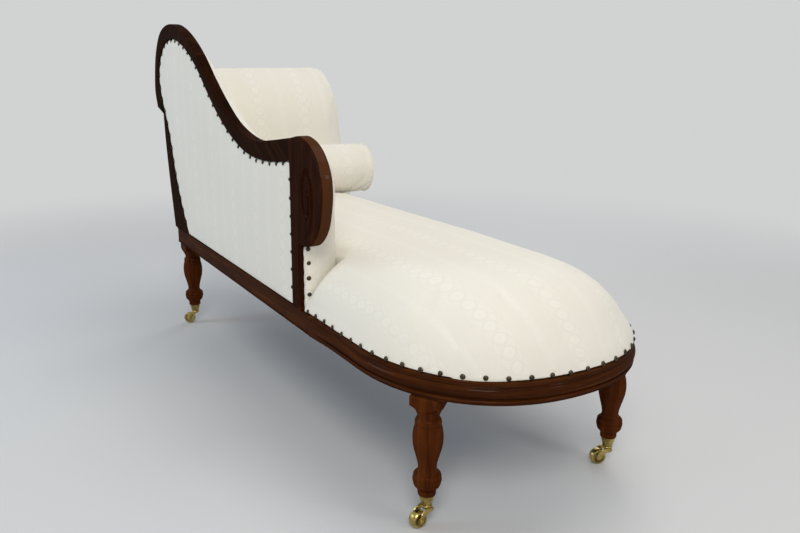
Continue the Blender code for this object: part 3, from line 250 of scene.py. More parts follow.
# Writes a flat layout of the surface in metres, from a rule on places and normals
def layOut(piece, layerName, rule):
    mesh = piece.data
    places = np.zeros(len(mesh.vertices) * 3)
    mesh.vertices.foreach_get("co", places)
    places = places.reshape(-1, 3)
    facing = np.zeros(len(mesh.vertices) * 3)
    mesh.vertex_normals.foreach_get("vector", facing)
    flat = np.stack(rule(places, facing.reshape(-1, 3)), 1)
    owners = np.zeros(len(mesh.loops), dtype=np.int64)
    mesh.loops.foreach_get("vertex_index", owners)
    layer = mesh.uv_layers.get(layerName) or mesh.uv_layers.new(name=layerName)
    layer.data.foreach_set("uv", flat[owners].ravel())


# A skin over rows of points, laid out by the lengths along and across it
def loft(name, rows, finish, wrap=False, caps=True, layer="grain", corner=40.0):
    wide = len(rows[0])
    points = [p for row in rows for p in row]
    along = [0.0]
    for a, b in zip(rows, rows[1:]):
        along.append(along[-1] + sum((q - p).length for p, q in zip(a, b)) / wide)
    middle = rows[len(rows) // 2]
    across = [0.0]
    for j in range(wide):
        across.append(across[-1] + (middle[(j + 1) % wide] - middle[j]).length)
    faces, flat = [], []
    for i in range(len(rows) - 1):
        for j in range(wide if wrap else wide - 1):
            k = (j + 1) % wide
            faces.append((i * wide + j, i * wide + k, (i + 1) * wide + k, (i + 1) * wide + j))
            flat += [(along[i], across[j]), (along[i], across[j + 1]),
                     (along[i + 1], across[j + 1]), (along[i + 1], across[j])]
    if caps and wrap:
        for i in (0, len(rows) - 1):
            ring = [i * wide + j for j in range(wide)]
            faces.append(tuple(ring))
            flat += [(along[i] + points[k].z, points[k].x + points[k].y) for k in ring]
    mesh = bpy.data.meshes.new(name)
    mesh.from_pydata([tuple(p) for p in points], [], faces)
    written = mesh.uv_layers.new(name=layer)
    written.data.foreach_set("uv", [value for pair in flat for value in pair])
    piece = bpy.data.objects.new(name, mesh)
    bpy.context.scene.collection.objects.link(piece)
    turnOutward(piece)
    return finished(piece, finish, corner)


# Least distance of every point to the sides of an outline, each side's divided by its share
def edgeDistance(points, outline, shares=None):
    a = np.array([tuple(p) for p in outline])
    b = np.roll(a, -1, axis=0)
    spans = b - a
    sizes = np.maximum((spans ** 2).sum(1), 1e-12)
    best = np.full(len(points), farOff)
    for k in range(len(a)):
        share = 1.0 if shares is None else shares[k]
        if share <= 0:
            continue
        t = np.clip(((points - a[k]) @ spans[k]) / sizes[k], 0, 1)
        away = np.hypot(*(points - a[k] - t[:, None] * spans[k]).T) / share
        best = np.minimum(best, away)
    return best


def insideOutline(points, outline):
    a = np.array([tuple(p) for p in outline])
    b = np.roll(a, -1, axis=0)
    hit = np.zeros(len(points), bool)
    for (x0, y0), (x1, y1) in zip(a, b):
        crosses = (y0 > points[:, 1]) != (y1 > points[:, 1])
        with np.errstate(divide="ignore", invalid="ignore"):
            at = (x1 - x0) * (points[:, 1] - y0) / (y1 - y0) + x0
        hit ^= crosses & (points[:, 0] < at)
    return hit


rowShare = 0.866  # a lattice's row height as a share of its pitch


# An outline filled with small triangles: rings are extra lines set in from its edge, fine is an area
# (low, high, spacing) that is filled more closely
def flatFill(outline, spacing, rings, fine=None):
    edge = [Vector(p) for p in outline]
    points = [tuple(p) for p in edge]
    for distance in rings:
        line = np.array([tuple(p) for p in inset(edge, [distance] * len(edge))])
        keep = insideOutline(line, edge) & (edgeDistance(line, edge) > distance * 0.9)
        points += [tuple(p) for p in line[keep]]
    margin = max(rings)
    low = np.array([min(p.x for p in edge), min(p.y for p in edge)])
    high = np.array([max(p.x for p in edge), max(p.y for p in edge)])

    def lattice(start, end, pitch):
        rows = np.arange(start[1], end[1], pitch * rowShare)
        return np.array([
            (x + (pitch / 2 if r % 2 else 0.0), z)
            for r, z in enumerate(rows) for x in np.arange(start[0], end[0], pitch)
        ])

    grid = lattice(low, high, spacing)
    if fine:
        start, end, pitch = np.array(fine[0]), np.array(fine[1]), fine[2]
        outside = ((grid < start) | (grid > end)).any(1)
        grid = np.concatenate([grid[outside], lattice(start, end, pitch)])
    grid = grid[insideOutline(grid, edge)]
    grid = grid[edgeDistance(grid, edge) > margin + spacing * (0.12 if fine else 0.45)]
    points += [tuple(p) for p in grid]
    count = len(edge)
    sides = [(i, (i + 1) % count) for i in range(count)]
    made = delaunay_2d_cdt([Vector(p) for p in points], sides, [], 1, 1e-7)
    return [Vector(p) for p in made[0]], [tuple(f) for f in made[2]]


# A closed upright pad: a flat back at flatY, and a face whose y is height(x, z)
def padOnPlane(name, outline, flatY, height, spacing, rings):
    flat, faces = flatFill(outline, spacing, rings)
    places = np.array([tuple(p) for p in flat])
    faceY = height(places)
    total = len(flat)
    edgeLoop = edgeOrder(faces)
    points = [Vector((p.x, y, p.y)) for p, y in zip(flat, faceY)]
    backOf = {k: total + i for i, k in enumerate(edgeLoop)}
    points += [Vector((flat[k].x, flatY, flat[k].y)) for k in edgeLoop]
    skin = [tuple(f) for f in faces]
    for a, b in zip(edgeLoop, edgeLoop[1:] + edgeLoop[:1]):
        skin.append((a, b, backOf[b], backOf[a]))
    skin.append(tuple(backOf[k] for k in edgeLoop))
    return makePiece(name, points, skin, ivoryDamask, 60.0)


# The outer loop of a filled outline
def edgeOrder(faces):
    seen = set()
    for face in faces:
        for a, b in zip(face, face[1:] + face[:1]):
            if (b, a) in seen:
                seen.remove((b, a))
            else:
                seen.add((a, b))
    after = dict(seen)
    start = next(iter(sorted(after)))
    loop, at = [start], after[start]
    while at != start:
        loop.append(at)
        at = after[at]
    return loop


# Straight-grained layout: u runs along the direction, v across it
def grainAlong(piece, direction, offset):
    d = Vector(direction).normalized()
    across = Vector((-d.z, 0.0, d.x))

    def rule(p, n):
        u = p[:, 0] * d.x + p[:, 1] * d.y + p[:, 2] * d.z
        v = p[:, 0] * across.x + p[:, 2] * across.z + p[:, 1]
        return u + offset, v + offset * 3
    layOut(piece, "grain", rule)


def circle(radius, height, sides):
    angles = [math.tau * j / sides for j in range(sides)]
    return [Vector((radius * math.cos(a), radius * math.sin(a), height)) for a in angles]


def turned(name, profile, sides, finish, layer="grain", caps=True):
    rows = [circle(max(radius, 1e-5), height, sides) for radius, height in profile]
    return loft(name, rows, finish, wrap=True, caps=caps, layer=layer, corner=35.0)


# A round welt along a path
def weltAlong(name, path, radius, closed=False):
    rows = []
    count, sides = len(path), 10
    for i, p in enumerate(path):
        before = path[(i - 1) % count] if closed or i else path[0]
        after = path[(i + 1) % count] if closed or i < count - 1 else path[-1]
        along = (after - before).normalized()
        aside = Vector((0, 1, 0)) if abs(along.y) < 0.9 else Vector((0, 0, 1))
        across = along.cross(aside).normalized()
        up = along.cross(across)
        rows.append([
            p + (across * math.cos(math.tau * j / sides) + up * math.sin(math.tau * j / sides)) * radius
            for j in range(sides)
        ])
    if closed:
        rows.append([q.copy() for q in rows[0]])
    return loft(name, rows, ivoryDamask, wrap=True, caps=not closed, layer="cloth", corner=80.0)


def joined(name, pieces):
    bpy.ops.object.select_all(action="DESELECT")
    for piece in pieces:
        piece.select_set(True)
    bpy.context.view_layer.objects.active = pieces[0]
    bpy.ops.object.join()
    pieces[0].name = pieces[0].data.name = name
    return pieces[0]


def onBody(piece, bodyName, slotName, *nodes):
    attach(piece, bodyName)
    if nodes:
        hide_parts(*nodes)


# Finishes

def newFinish(name):
    finish = bpy.data.materials.new(name)
    finish.use_nodes = True
    return finish, finish.node_tree, finish.node_tree.nodes["Principled BSDF"]


def place(tree, kind, inputs=None, **settings):
    made = tree.nodes.new(kind)
    for key, value in settings.items():
        setattr(made, key, value)
    for key, value in (inputs or {}).items():
        if isinstance(value, bpy.types.NodeSocket):
            tree.links.new(value, made.inputs[key])
        else:
            made.inputs[key].default_value = value
    return made


def reckon(tree, operation, *terms):
    made = tree.nodes.new("ShaderNodeMath")
    made.operation = operation
    for i, term in enumerate(terms):
        if isinstance(term, bpy.types.NodeSocket):
            tree.links.new(term, made.inputs[i])
        else:
            made.inputs[i].default_value = term
    return made.outputs[0]


def fade(tree, value, low, high, toLow=0.0, toHigh=1.0):
    made = place(tree, "ShaderNodeMapRange", {
        "Value": value, "From Min": low, "From Max": high, "To Min": toLow, "To Max": toHigh,
    }, interpolation_type="SMOOTHSTEP")
    return made.outputs[0]


def ramp(tree, value, stops):
    made = tree.nodes.new("ShaderNodeValToRGB")
    tree.links.new(value, made.inputs[0])
    line = made.color_ramp
    for i, (at, colour) in enumerate(stops):
        stop = line.elements[i] if i < 2 else line.elements.new(at)
        stop.position = at
        stop.color = (*colour, 1.0)
    return made.outputs[0]


def mixed(tree, share, a, b):
    made = tree.nodes.new("ShaderNodeMix")
    made.data_type = "RGBA"
    for index, value in ((0, share), (6, a), (7, b)):
        if isinstance(value, bpy.types.NodeSocket):
            tree.links.new(value, made.inputs[index])
        else:
            made.inputs[index].default_value = value if index == 0 else (*value, 1.0)
    return made.outputs[2]


def noise(tree, where, scale, detail=2.0, rough=0.55, stretch=(1, 1, 1)):
    moved = place(tree, "ShaderNodeMapping", {"Vector": where, "Scale": stretch}).outputs[0]
    return place(tree, "ShaderNodeTexNoise", {
        "Vector": moved, "Scale": scale, "Detail": detail, "Roughness": rough,
    }).outputs[0]


def bumped(tree, shader, height, distance, strength):
    made = place(tree, "ShaderNodeBump", {"Height": height, "Distance": distance, "Strength": strength})
    tree.links.new(made.outputs[0], shader.inputs["Normal"])


def onLayer(tree, layer):
    return place(tree, "ShaderNodeUVMap", uv_map=layer).outputs[0]


def inSolid(tree, turn=(0, 0, 0)):
    source = place(tree, "ShaderNodeTexCoord").outputs["Object"]
    return place(tree, "ShaderNodeMapping", {"Vector": source, "Rotation": turn}).outputs[0]


wornRim = (0.200, 0.070, 0.020)
scrollBase = 0.500  # height over which the scroll's rim gets a painted highlight, lighter than its face


# French-polished mahogany: long ribbon figure, fine fibre, short dark pores, lighter worn arrises, and, where
# a rim tone is given, a painted highlight on the side faces above the scroll's base
def mahoganyFinish(name, deep, middle, warm, wear=0.4, polish=0.085, paintedRimLight=None):
    finish, tree, shader = newFinish(name)
    where = onLayer(tree, "grain")
    ribbon = noise(tree, where, 1.0, 3.0, 0.6, (2.4, 42, 42))
    stripe = noise(tree, where, 1.0, 2.0, 0.6, (9, 190, 190))
    fibre = noise(tree, where, 1.0, 2.0, 0.6, (50, 1500, 1500))
    pore = noise(tree, where, 1.0, 1.0, 0.5, (140, 2600, 2600))
    cloud = noise(tree, where, 7.0, 2.0)
    tone = reckon(tree, "MULTIPLY_ADD", ribbon, 0.5, reckon(tree, "MULTIPLY", stripe, 0.28))
    tone = reckon(tree, "ADD", tone, reckon(tree, "MULTIPLY", cloud, 0.22))
    wood = ramp(tree, tone, ((0.36, deep), (0.66, warm), (0.50, middle)))
    fibreDark = reckon(tree, "MULTIPLY", fade(tree, fibre, 0.46, 0.66), 0.45)
    wood = mixed(tree, fibreDark, wood, deep)
    poreDark = reckon(tree, "MULTIPLY", fade(tree, pore, 0.60, 0.72), 0.7)
    wood = mixed(tree, poreDark, wood, [part * 0.35 for part in deep])
    # Painted highlight: faces turned sideways and above the scroll's base are mixed toward a lighter tone,
    # standing for light on the scroll's rim
    if paintedRimLight:
        source = place(tree, "ShaderNodeTexCoord").outputs
        facing = place(tree, "ShaderNodeSeparateXYZ", {0: source["Normal"]}).outputs[1]
        height = place(tree, "ShaderNodeSeparateXYZ", {0: source["Object"]}).outputs[2]
        paintedRimShare = fade(tree, reckon(tree, "ABSOLUTE", facing), 0.12, 0.45, 0.65, 0.0)
        paintedRimShare = reckon(tree, "MULTIPLY", paintedRimShare, fade(tree, height, scrollBase, scrollBase + 0.025))
        wood = mixed(tree, paintedRimShare, wood, paintedRimLight)
    arris = place(tree, "ShaderNodeNewGeometry").outputs["Pointiness"]
    worn = reckon(tree, "MULTIPLY", fade(tree, arris, 0.515, 0.60), fade(tree, cloud, 0.35, 0.62))
    worn = reckon(tree, "MULTIPLY", worn, wear)
    tree.links.new(mixed(tree, worn, wood, wornRim), shader.inputs["Base Color"])
    rough = reckon(tree, "MULTIPLY_ADD", fibre, 0.14, 0.20)
    rough = reckon(tree, "ADD", rough, reckon(tree, "MULTIPLY", cloud, 0.10))
    tree.links.new(rough, shader.inputs["Roughness"])
    shader.inputs["Coat Weight"].default_value = polish
    shader.inputs["Coat Roughness"].default_value = 0.07
    shader.inputs["Specular IOR Level"].default_value = 0.0
    grooves = reckon(tree, "SUBTRACT", fibre, poreDark)
    bumped(tree, shader, grooves, 0.00025, 0.35)
    return finish


def beechFinish(name, turn):
    finish, tree, shader = newFinish(name)
    where = inSolid(tree, turn)
    ring = noise(tree, where, 1.0, 3.0, 0.6, (1.6, 26, 26))
    fleck = noise(tree, where, 1.0, 1.0, 0.5, (170, 1200, 1200))
    wood = ramp(tree, ring, ((0.3, (0.36, 0.215, 0.110)), (0.7, (0.56, 0.385, 0.225))))
    speck = reckon(tree, "MULTIPLY", fade(tree, fleck, 0.58, 0.72), 0.45)
    tree.links.new(mixed(tree, speck, wood, (0.27, 0.15, 0.075)), shader.inputs["Base Color"])
    tree.links.new(reckon(tree, "MULTIPLY_ADD", ring, 0.2, 0.5), shader.inputs["Roughness"])
    bumped(tree, shader, fleck, 0.0004, 0.4)
    return finish


damaskPattern = {
    "repeat": 0.172, "ovalPitch": 0.039, "ovalHalf": 0.0172, "bandHalf": 0.0330, "narrowHalf": 0.0150,
    "lozengePitch": 0.026, "rib": 0.0034, "weave": 0.00062,
}


# Ivory damask: columns of small ovals between borders, narrow columns of lozenges, fine ribs
def damaskFinish(name, ground, satin, shadow):
    finish, tree, shader = newFinish(name)
    where = onLayer(tree, "cloth")
    size = damaskPattern
    drift = noise(tree, where, 9.0, 2.0)
    axes = place(tree, "ShaderNodeSeparateXYZ", {0: where})
    u = reckon(tree, "MULTIPLY_ADD", drift, 0.0022, axes.outputs[0])
    v = reckon(tree, "MULTIPLY_ADD", drift, 0.0018, axes.outputs[1])
    phase = reckon(tree, "FRACT", reckon(tree, "DIVIDE", u, size["repeat"]))

    def times(a, b):
        return reckon(tree, "MULTIPLY", a, b)

    def most(a, b):
        return reckon(tree, "MAXIMUM", a, b)

    def fromColumn(at):
        return times(reckon(tree, "SUBTRACT", phase, at), size["repeat"])

    def notOver(value, low, high):
        return fade(tree, value, low, high, 1.0, 0.0)

    # The wide band: a column of ovals with an eye in each, a waving stem at both sides, and a border
    wide = fromColumn(0.25)
    wideOff = reckon(tree, "ABSOLUTE", wide)
    half = size["bandHalf"]
    band = notOver(wideOff, half - 0.0008, half)
    border = times(band, fade(tree, wideOff, half - 0.0034, half - 0.0026))
    cell = reckon(tree, "FRACT", reckon(tree, "DIVIDE", v, size["ovalPitch"]))
    up = times(reckon(tree, "SUBTRACT", cell, 0.5), size["ovalPitch"] / size["ovalHalf"])
    side = reckon(tree, "DIVIDE", wide, size["ovalHalf"] * 1.05)
    reach = reckon(tree, "SQRT", reckon(tree, "ADD", times(up, up), times(side, side)))
    oval = times(fade(tree, reach, 0.78, 0.88), notOver(reach, 1.04, 1.14))
    eye = times(fade(tree, reach, 0.20, 0.28), notOver(reach, 0.66, 0.78))
    wave = reckon(tree, "COSINE", times(cell, math.tau))
    stem = reckon(tree, "MULTIPLY_ADD", wave, 0.0030, 0.0245)
    stemOff = reckon(tree, "ABSOLUTE", reckon(tree, "SUBTRACT", wideOff, stem))
    stemLine = notOver(stemOff, 0.0012, 0.0022)

    # The narrow lane: lozenges between two edges
    narrowOff = reckon(tree, "ABSOLUTE", fromColumn(0.75))
    half = size["narrowHalf"]
    lane = notOver(narrowOff, half - 0.0006, half)
    laneEdge = times(lane, fade(tree, narrowOff, half - 0.0026, half - 0.0018))
    step = reckon(tree, "FRACT", reckon(tree, "DIVIDE", v, size["lozengePitch"]))
    lozenge = reckon(tree, "ABSOLUTE", reckon(tree, "SUBTRACT", step, 0.5))
    lozenge = reckon(tree, "MULTIPLY_ADD", lozenge, 2.0, reckon(tree, "DIVIDE", narrowOff, half * 0.8))
    core = times(notOver(lozenge, 0.46, 0.60), lane)

    line = most(most(times(most(oval, stemLine), band), border), laneEdge)
    figure = most(times(eye, band), times(core, 0.7))
    rib = reckon(tree, "SINE", times(u, math.tau / size["rib"]))
    ribHere = times(reckon(tree, "MULTIPLY_ADD", rib, 0.5, 0.5), reckon(tree, "SUBTRACT", 1.0, band))
    thread = times(
        reckon(tree, "SINE", times(axes.outputs[0], math.tau / size["weave"])),
        reckon(tree, "SINE", times(axes.outputs[1], math.tau / size["weave"])),
    )
    slub = noise(tree, where, 1.0, 2.0, 0.6, (620, 45, 1))
    soil = noise(tree, where, 3.5, 3.0)
    base = ground
    for share, tone in (
        (times(ribHere, 0.16), shadow),
        (times(fade(tree, slub, 0.5, 0.75), 0.30), shadow),
        (times(most(band, lane), 0.20), satin),
        (times(figure, 0.36), satin),
        (times(line, 0.42), shadow),
        (times(fade(tree, soil, 0.42, 0.72), 0.30), shadow),
    ):
        base = mixed(tree, share, base, tone)
    tree.links.new(base, shader.inputs["Base Color"])
    tree.links.new(reckon(tree, "MULTIPLY_ADD", figure, -0.14, 0.80), shader.inputs["Roughness"])
    shader.inputs["Sheen Weight"].default_value = 0.18
    shader.inputs["Sheen Roughness"].default_value = 0.45
    shader.inputs["Specular IOR Level"].default_value = 0.35
    height = reckon(tree, "MULTIPLY_ADD", figure, 0.5, times(ribHere, 0.25))
    height = reckon(tree, "ADD", height, times(thread, 0.12))
    height = reckon(tree, "ADD", height, times(slub, 0.25))
    bumped(tree, shader, height, 0.0007, 0.5)
    return finish


# Cast metal, rubbed bright on its high places and darker in its hollows
def metalFinish(name, bright, dull, rough, spread):
    finish, tree, shader = newFinish(name)
    where = inSolid(tree)
    cloud = noise(tree, where, 60.0, 3.0)
    grain = noise(tree, where, 900.0, 2.0)
    arris = place(tree, "ShaderNodeNewGeometry").outputs["Pointiness"]
    raised = fade(tree, arris, 0.47, 0.56, 0.0, 0.7)
    rubbed = reckon(tree, "ADD", raised, fade(tree, cloud, 0.35, 0.65, 0.0, 0.5))
    tone = mixed(tree, reckon(tree, "MINIMUM", rubbed, 1.0), dull, bright)
    tree.links.new(tone, shader.inputs["Base Color"])
    shader.inputs["Metallic"].default_value = 1.0
    tree.links.new(reckon(tree, "MULTIPLY_ADD", cloud, spread, rough), shader.inputs["Roughness"])
    bumped(tree, shader, reckon(tree, "ADD", reckon(tree, "MULTIPLY", grain, 0.4), cloud), 0.0004, 0.3)
    return finish


def coarseClothFinish(name, light, dark, pitch):
    finish, tree, shader = newFinish(name)
    where = onLayer(tree, "cloth")
    axes = place(tree, "ShaderNodeSeparateXYZ", {0: where})
    wobble = noise(tree, where, 60.0, 2.0)
    u = reckon(tree, "MULTIPLY_ADD", wobble, pitch * 0.8, axes.outputs[0])
    v = reckon(tree, "MULTIPLY_ADD", wobble, pitch * 0.8, axes.outputs[1])
    warp = reckon(tree, "ABSOLUTE", reckon(tree, "SINE", reckon(tree, "MULTIPLY", u, math.pi / pitch)))
    weft = reckon(tree, "ABSOLUTE", reckon(tree, "SINE", reckon(tree, "MULTIPLY", v, math.pi / pitch)))
    thread = reckon(tree, "MULTIPLY", warp, weft)
    patch = noise(tree, where, 14.0, 3.0)
    share = reckon(tree, "MULTIPLY", thread, fade(tree, patch, 0.2, 0.8, 0.6, 1.0))
    tree.links.new(mixed(tree, share, dark, light), shader.inputs["Base Color"])
    tree.links.new(reckon(tree, "MULTIPLY_ADD", patch, 0.15, 0.82), shader.inputs["Roughness"])
    bumped(tree, shader, thread, pitch * 0.4, 0.6)
    return finish


faceWood = mahoganyFinish(
    "crestMahogany", (0.0080, 0.0022, 0.0008), (0.0170, 0.0048, 0.0013), (0.034, 0.0100, 0.0025),
    wear=0.14, polish=0.045,
)
# The post's rim tone is a painted highlight on the scroll's side faces
postWood = mahoganyFinish(
    "postMahogany", (0.011, 0.0022, 0.0005), (0.024, 0.0050, 0.0009), (0.046, 0.0110, 0.0019),
    polish=0.06, paintedRimLight=(0.090, 0.034, 0.0125),
)
railWood = mahoganyFinish(
    "railMahogany", (0.022, 0.0052, 0.0012), (0.050, 0.0128, 0.0024), (0.100, 0.029, 0.0056),
)
legWood = mahoganyFinish(
    "legMahogany", (0.034, 0.0066, 0.0009), (0.070, 0.0150, 0.0018), (0.118, 0.031, 0.0040),
)
ivoryDamask = damaskFinish("ivoryDamask", (0.790, 0.752, 0.655), (0.828, 0.800, 0.712), (0.745, 0.700, 0.595))
castBrass = metalFinish("polishedBrass", (0.530, 0.400, 0.135), (0.115, 0.078, 0.020), 0.16, 0.22)
nailBronze = metalFinish("nailBronze", (0.070, 0.056, 0.038), (0.014, 0.011, 0.008), 0.30, 0.25)
springSteel = metalFinish("springWire", (0.420, 0.415, 0.405), (0.110, 0.085, 0.065), 0.30, 0.2)
beechLong = beechFinish("beechLengthwise", (0, 0, 0))
beechCross = beechFinish("beechCrosswise", (0, 0, math.pi / 2))
beechUpright = beechFinish("beechUpright", (0, math.pi / 2, 0))
hessian = coarseClothFinish("hessianWeave", (0.520, 0.390, 0.225), (0.170, 0.110, 0.055), 0.0022)
blackCloth = coarseClothFinish("blackCambric", (0.040, 0.040, 0.043), (0.010, 0.010, 0.011), 0.0011)
print("finishes made")


# Show-wood

# The sawn boards' easing: how much of it a joint takes, and where the flat face starts
backBoards = {"edge": 0.0042, "jointShare": 0.12, "flatShare": 1.35, "easeSteps": 4}


# (y, distance in from the outline) round the two eased edges, from the outside to the inside face
def easedLevels():
    edge, steps = backBoards["edge"], backBoards["easeSteps"]
    turns = [math.pi / 2 * i / steps for i in range(steps + 1)]
    levels = [(-sideY + edge * (1 - math.cos(a)), edge * (1 - math.sin(a))) for a in turns]
    return levels + [(boardInnerY - edge * (1 - math.sin(a)), edge * (1 - math.cos(a))) for a in turns]


# Shares say how much of the easing each side of the outline takes
def board(name, outline, shares):
    flatFrom = backBoards["edge"] * backBoards["flatShare"]
    levels = [(-sideY, flatFrom)] + easedLevels() + [(boardInnerY, flatFrom)]
    rows = []
    for y, distance in levels:
        ring = inset(outline, [s * distance for s in shares])
        rows.append([Vector((p.x, y, p.y)) for p in ring])
    return loft(name, rows, faceWood, wrap=True, corner=35.0)


def sideShares(outline, isJoint):
    return [
        backBoards["jointShare"] if isJoint(a, b) else 1.0
        for a, b in zip(outline, outline[1:] + outline[:1])
    ]


# Stile, lobe and sweep are sawn boards that meet end to end, with a hair's gap at each joint
def makeBackBoards():
    gap, hair = chaise["gap"], 0.001
    outer, inner = frameOuterRun(), frameInnerRun()
    lobeEnd = 1 + 9 * runSteps
    crestEnd = 1 + (len(crestShares) - 2) * runSteps
    sweepStart, lobeStart = 7 * runSteps, 15 * runSteps
    stepZ = outer[0].y

    stile = lifted(stileOuterRun(), seatBase) + lifted(inner[lobeStart:], seatBase)
    lobe = outer[: lobeEnd + 1] + inner[sweepStart: lobeStart + 1]
    lobe[0] = Vector((lobe[0].x, stepZ + gap))
    lobe[-1] = Vector((lobe[-1].x, stepZ + gap))
    sweep = outer[lobeEnd: crestEnd + 1] + inner[: sweepStart + 1]
    seam = (outer[lobeEnd + 1] - outer[lobeEnd]).normalized() * gap
    sweep[0] = sweep[0] + seam
    sweep[-1] = sweep[-1] + seam
    for i in (crestEnd - lobeEnd, crestEnd - lobeEnd + 1):
        sweep[i] = sweep[i] - Vector((gap, 0.0))
    seamTop, seamFoot = outer[lobeEnd], inner[sweepStart]

    def near(a, b):
        return (a - b).length < 0.004

    def onJoint(a, b):
        lowest, highest = min(a.y, b.y), max(a.y, b.y)
        onRail = highest < seatBase + hair
        level = lowest > stepZ - hair and highest < stepZ + hair
        onStep = level and abs(a.x - b.x) > 0.008 and min(a.x, b.x) > headX + 0.06
        onSeam = (near(a, seamTop) and near(b, seamFoot)) or (near(b, seamTop) and near(a, seamFoot))
        atPost = abs(a.x - postX) < hair and abs(b.x - postX) < hair
        return onRail or onStep or onSeam or atPost

    for i, (name, outline, grain, node) in enumerate((
        ("stileBoard", stile, (-0.14, 0, 1), "back_stile"),
        ("lobeBoard", lobe, (0.55, 0, 1), "crest_lobe"),
        ("crestBoard", sweep, (1, 0, -0.62), "crest_sweep"),
    )):
        made = board(name, outline, sideShares(outline, onJoint))
        grainAlong(made, grain, 0.37 * i)
        onBody(made, "frame", "mahogany", node)
    makeScrollPost(outer[crestEnd:])


scroll = {
    "centre": (0.3405, 0.6235), "halfWide": 0.036, "halfHigh": 0.088, "turns": 1.45, "close": 0.78,
    "grooveHalf": 0.0095, "grooveDeep": 0.0062, "bossRadius": 0.0095, "bossRise": 0.0034,
    "carved": ((0.268, 0.515), (0.418, 0.745), 0.0016),
}


def voluteLine(count=220):
    line = []
    for i in range(count + 1):
        share = i / count
        angle = -math.pi / 2 + share * scroll["turns"] * math.tau
        reach = 1.0 - scroll["close"] * share
        line.append((
            scroll["centre"][0] + scroll["halfWide"] * reach * math.cos(angle),
            scroll["centre"][1] + scroll["halfHigh"] * reach * math.sin(angle),
        ))
    return np.array(line)


# Depth of the volute's channel, and the rise of its round boss
def carving(places):
    line = voluteLine()
    away = np.full(len(places), farOff)
    share = np.zeros(len(places))
    for i, point in enumerate(line):
        reach = np.hypot(*(places - point).T)
        nearer = reach < away
        away[nearer] = reach[nearer]
        share[nearer] = i / (len(line) - 1)
    half = scroll["grooveHalf"] * (1.0 - 0.35 * share)
    deep = scroll["grooveDeep"] * np.minimum(1.0, share * 7 + 0.05)
    cut = deep * np.clip(1.0 - (away / half) ** 2, 0, 1) ** 0.8
    eye = line[-1]
    fromEye = np.hypot(*(places - eye).T) / scroll["bossRadius"]
    boss = scroll["bossRise"] * np.sqrt(np.clip(1.0 - fromEye ** 2, 0, 1))
    return np.where(fromEye < 1.0, -boss, cut)


def makeScrollPost(outerPart):
    frontFoot, backFoot = Vector((postFrontX, seatBase)), Vector((postX, seatBase))
    outline = evenRun(outerPart, 0.004) + evenRun([outerPart[-1], frontFoot], 0.006)[1:]
    outline += [backFoot] + evenRun([backFoot, outerPart[0]], 0.006)[1:-1]
    crestFoot = railTop + 0.52 * backRise

    def onJoint(a, b):
        atCrest = abs(a.x - postX) < 0.001 and abs(b.x - postX) < 0.001 and min(a.y, b.y) > crestFoot
        return max(a.y, b.y) < seatBase + 0.001 or atCrest

    levels = easedLevels()
    shares = sideShares(outline, onJoint)
    rings = [inset(outline, [s * distance for s in shares]) for _, distance in levels]
    flat, faces = flatFill(rings[0], 0.0060, (0.0012,), scroll["carved"])
    places = np.array([tuple(p) for p in flat])
    fromEdge = edgeDistance(places, rings[0])
    depth = carving(places) * np.clip((fromEdge - 0.0015) / 0.003, 0, 1)
    points = [Vector((p.x, d - sideY, p.y)) for p, d in zip(flat, depth)]
    loop = edgeOrder(faces)
    order = {tuple(np.round(tuple(p), 6)): i for i, p in enumerate(rings[0])}
    ringIndex = [order[tuple(np.round(tuple(flat[k]), 6))] for k in loop]
    skin = list(faces)
    before = loop
    for (y, _), ring in zip(levels[1:], rings[1:]):
        base = len(points)
        points += [Vector((ring[i].x, y, ring[i].y)) for i in ringIndex]
        now = [base + i for i in range(len(loop))]
        for i in range(len(loop)):
            j = (i + 1) % len(loop)
            skin.append((before[i], before[j], now[j], now[i]))
        before = now
    skin.append(tuple(before))
    post = makePiece("scrollPost", points, skin, postWood, 35.0)
    grainAlong(post, (0.06, 0, 1), 1.7)
    onBody(post, "frame", "mahogany", "scroll_post")


moulding = {
    "fillet": 0.30, "filletDown": 0.21, "quirk": 0.39, "torusMiddle": 0.49, "torusHalf": 0.215,
    "bead": 0.34, "beadOut": 0.22, "beadMiddle": 0.83, "beadHalf": 0.068, "stopLength": 0.150, "start": 0.049,
}


# (cut in, height) round the moulded rail's section
def mouldingProfile(depthShare):
    m, thick, deep = moulding, chaise["railThick"], chaise["railDepth"]
    torusFoot = m["torusMiddle"] + m["torusHalf"]
    beadTop, beadFoot = m["beadMiddle"] - m["beadHalf"], m["beadMiddle"] + m["beadHalf"]
    line = [
        (m["fillet"], 0.012), (m["fillet"] - 0.02, 0.06), (m["fillet"] - 0.02, m["filletDown"] - 0.03),
        (m["fillet"], m["filletDown"]), (m["quirk"], m["filletDown"] + 0.03),
    ]
    for i in range(15):
        a = math.pi * (0.06 + 0.88 * i / 14)
        line.append((m["quirk"] - m["quirk"] * math.sin(a), m["torusMiddle"] - m["torusHalf"] * math.cos(a)))
    line += [(m["quirk"], torusFoot + 0.01), (m["quirk"], beadTop - 0.01)]
    for i in range(9):
        a = math.pi * (0.08 + 0.84 * i / 8)
        line.append((m["bead"] - m["beadOut"] * math.sin(a), m["beadMiddle"] - m["beadHalf"] * math.cos(a)))
    line += [(m["bead"] + 0.01, beadFoot + 0.01), (m["bead"], 0.985), (m["bead"] + 0.06, 1.0)]
    face = [(cut * depthShare * thick, railTop - down * deep) for cut, down in line]
    return [(0.42 * thick * depthShare + 0.0008, railTop)] + face + [(thick, railBase), (thick, railTop)]


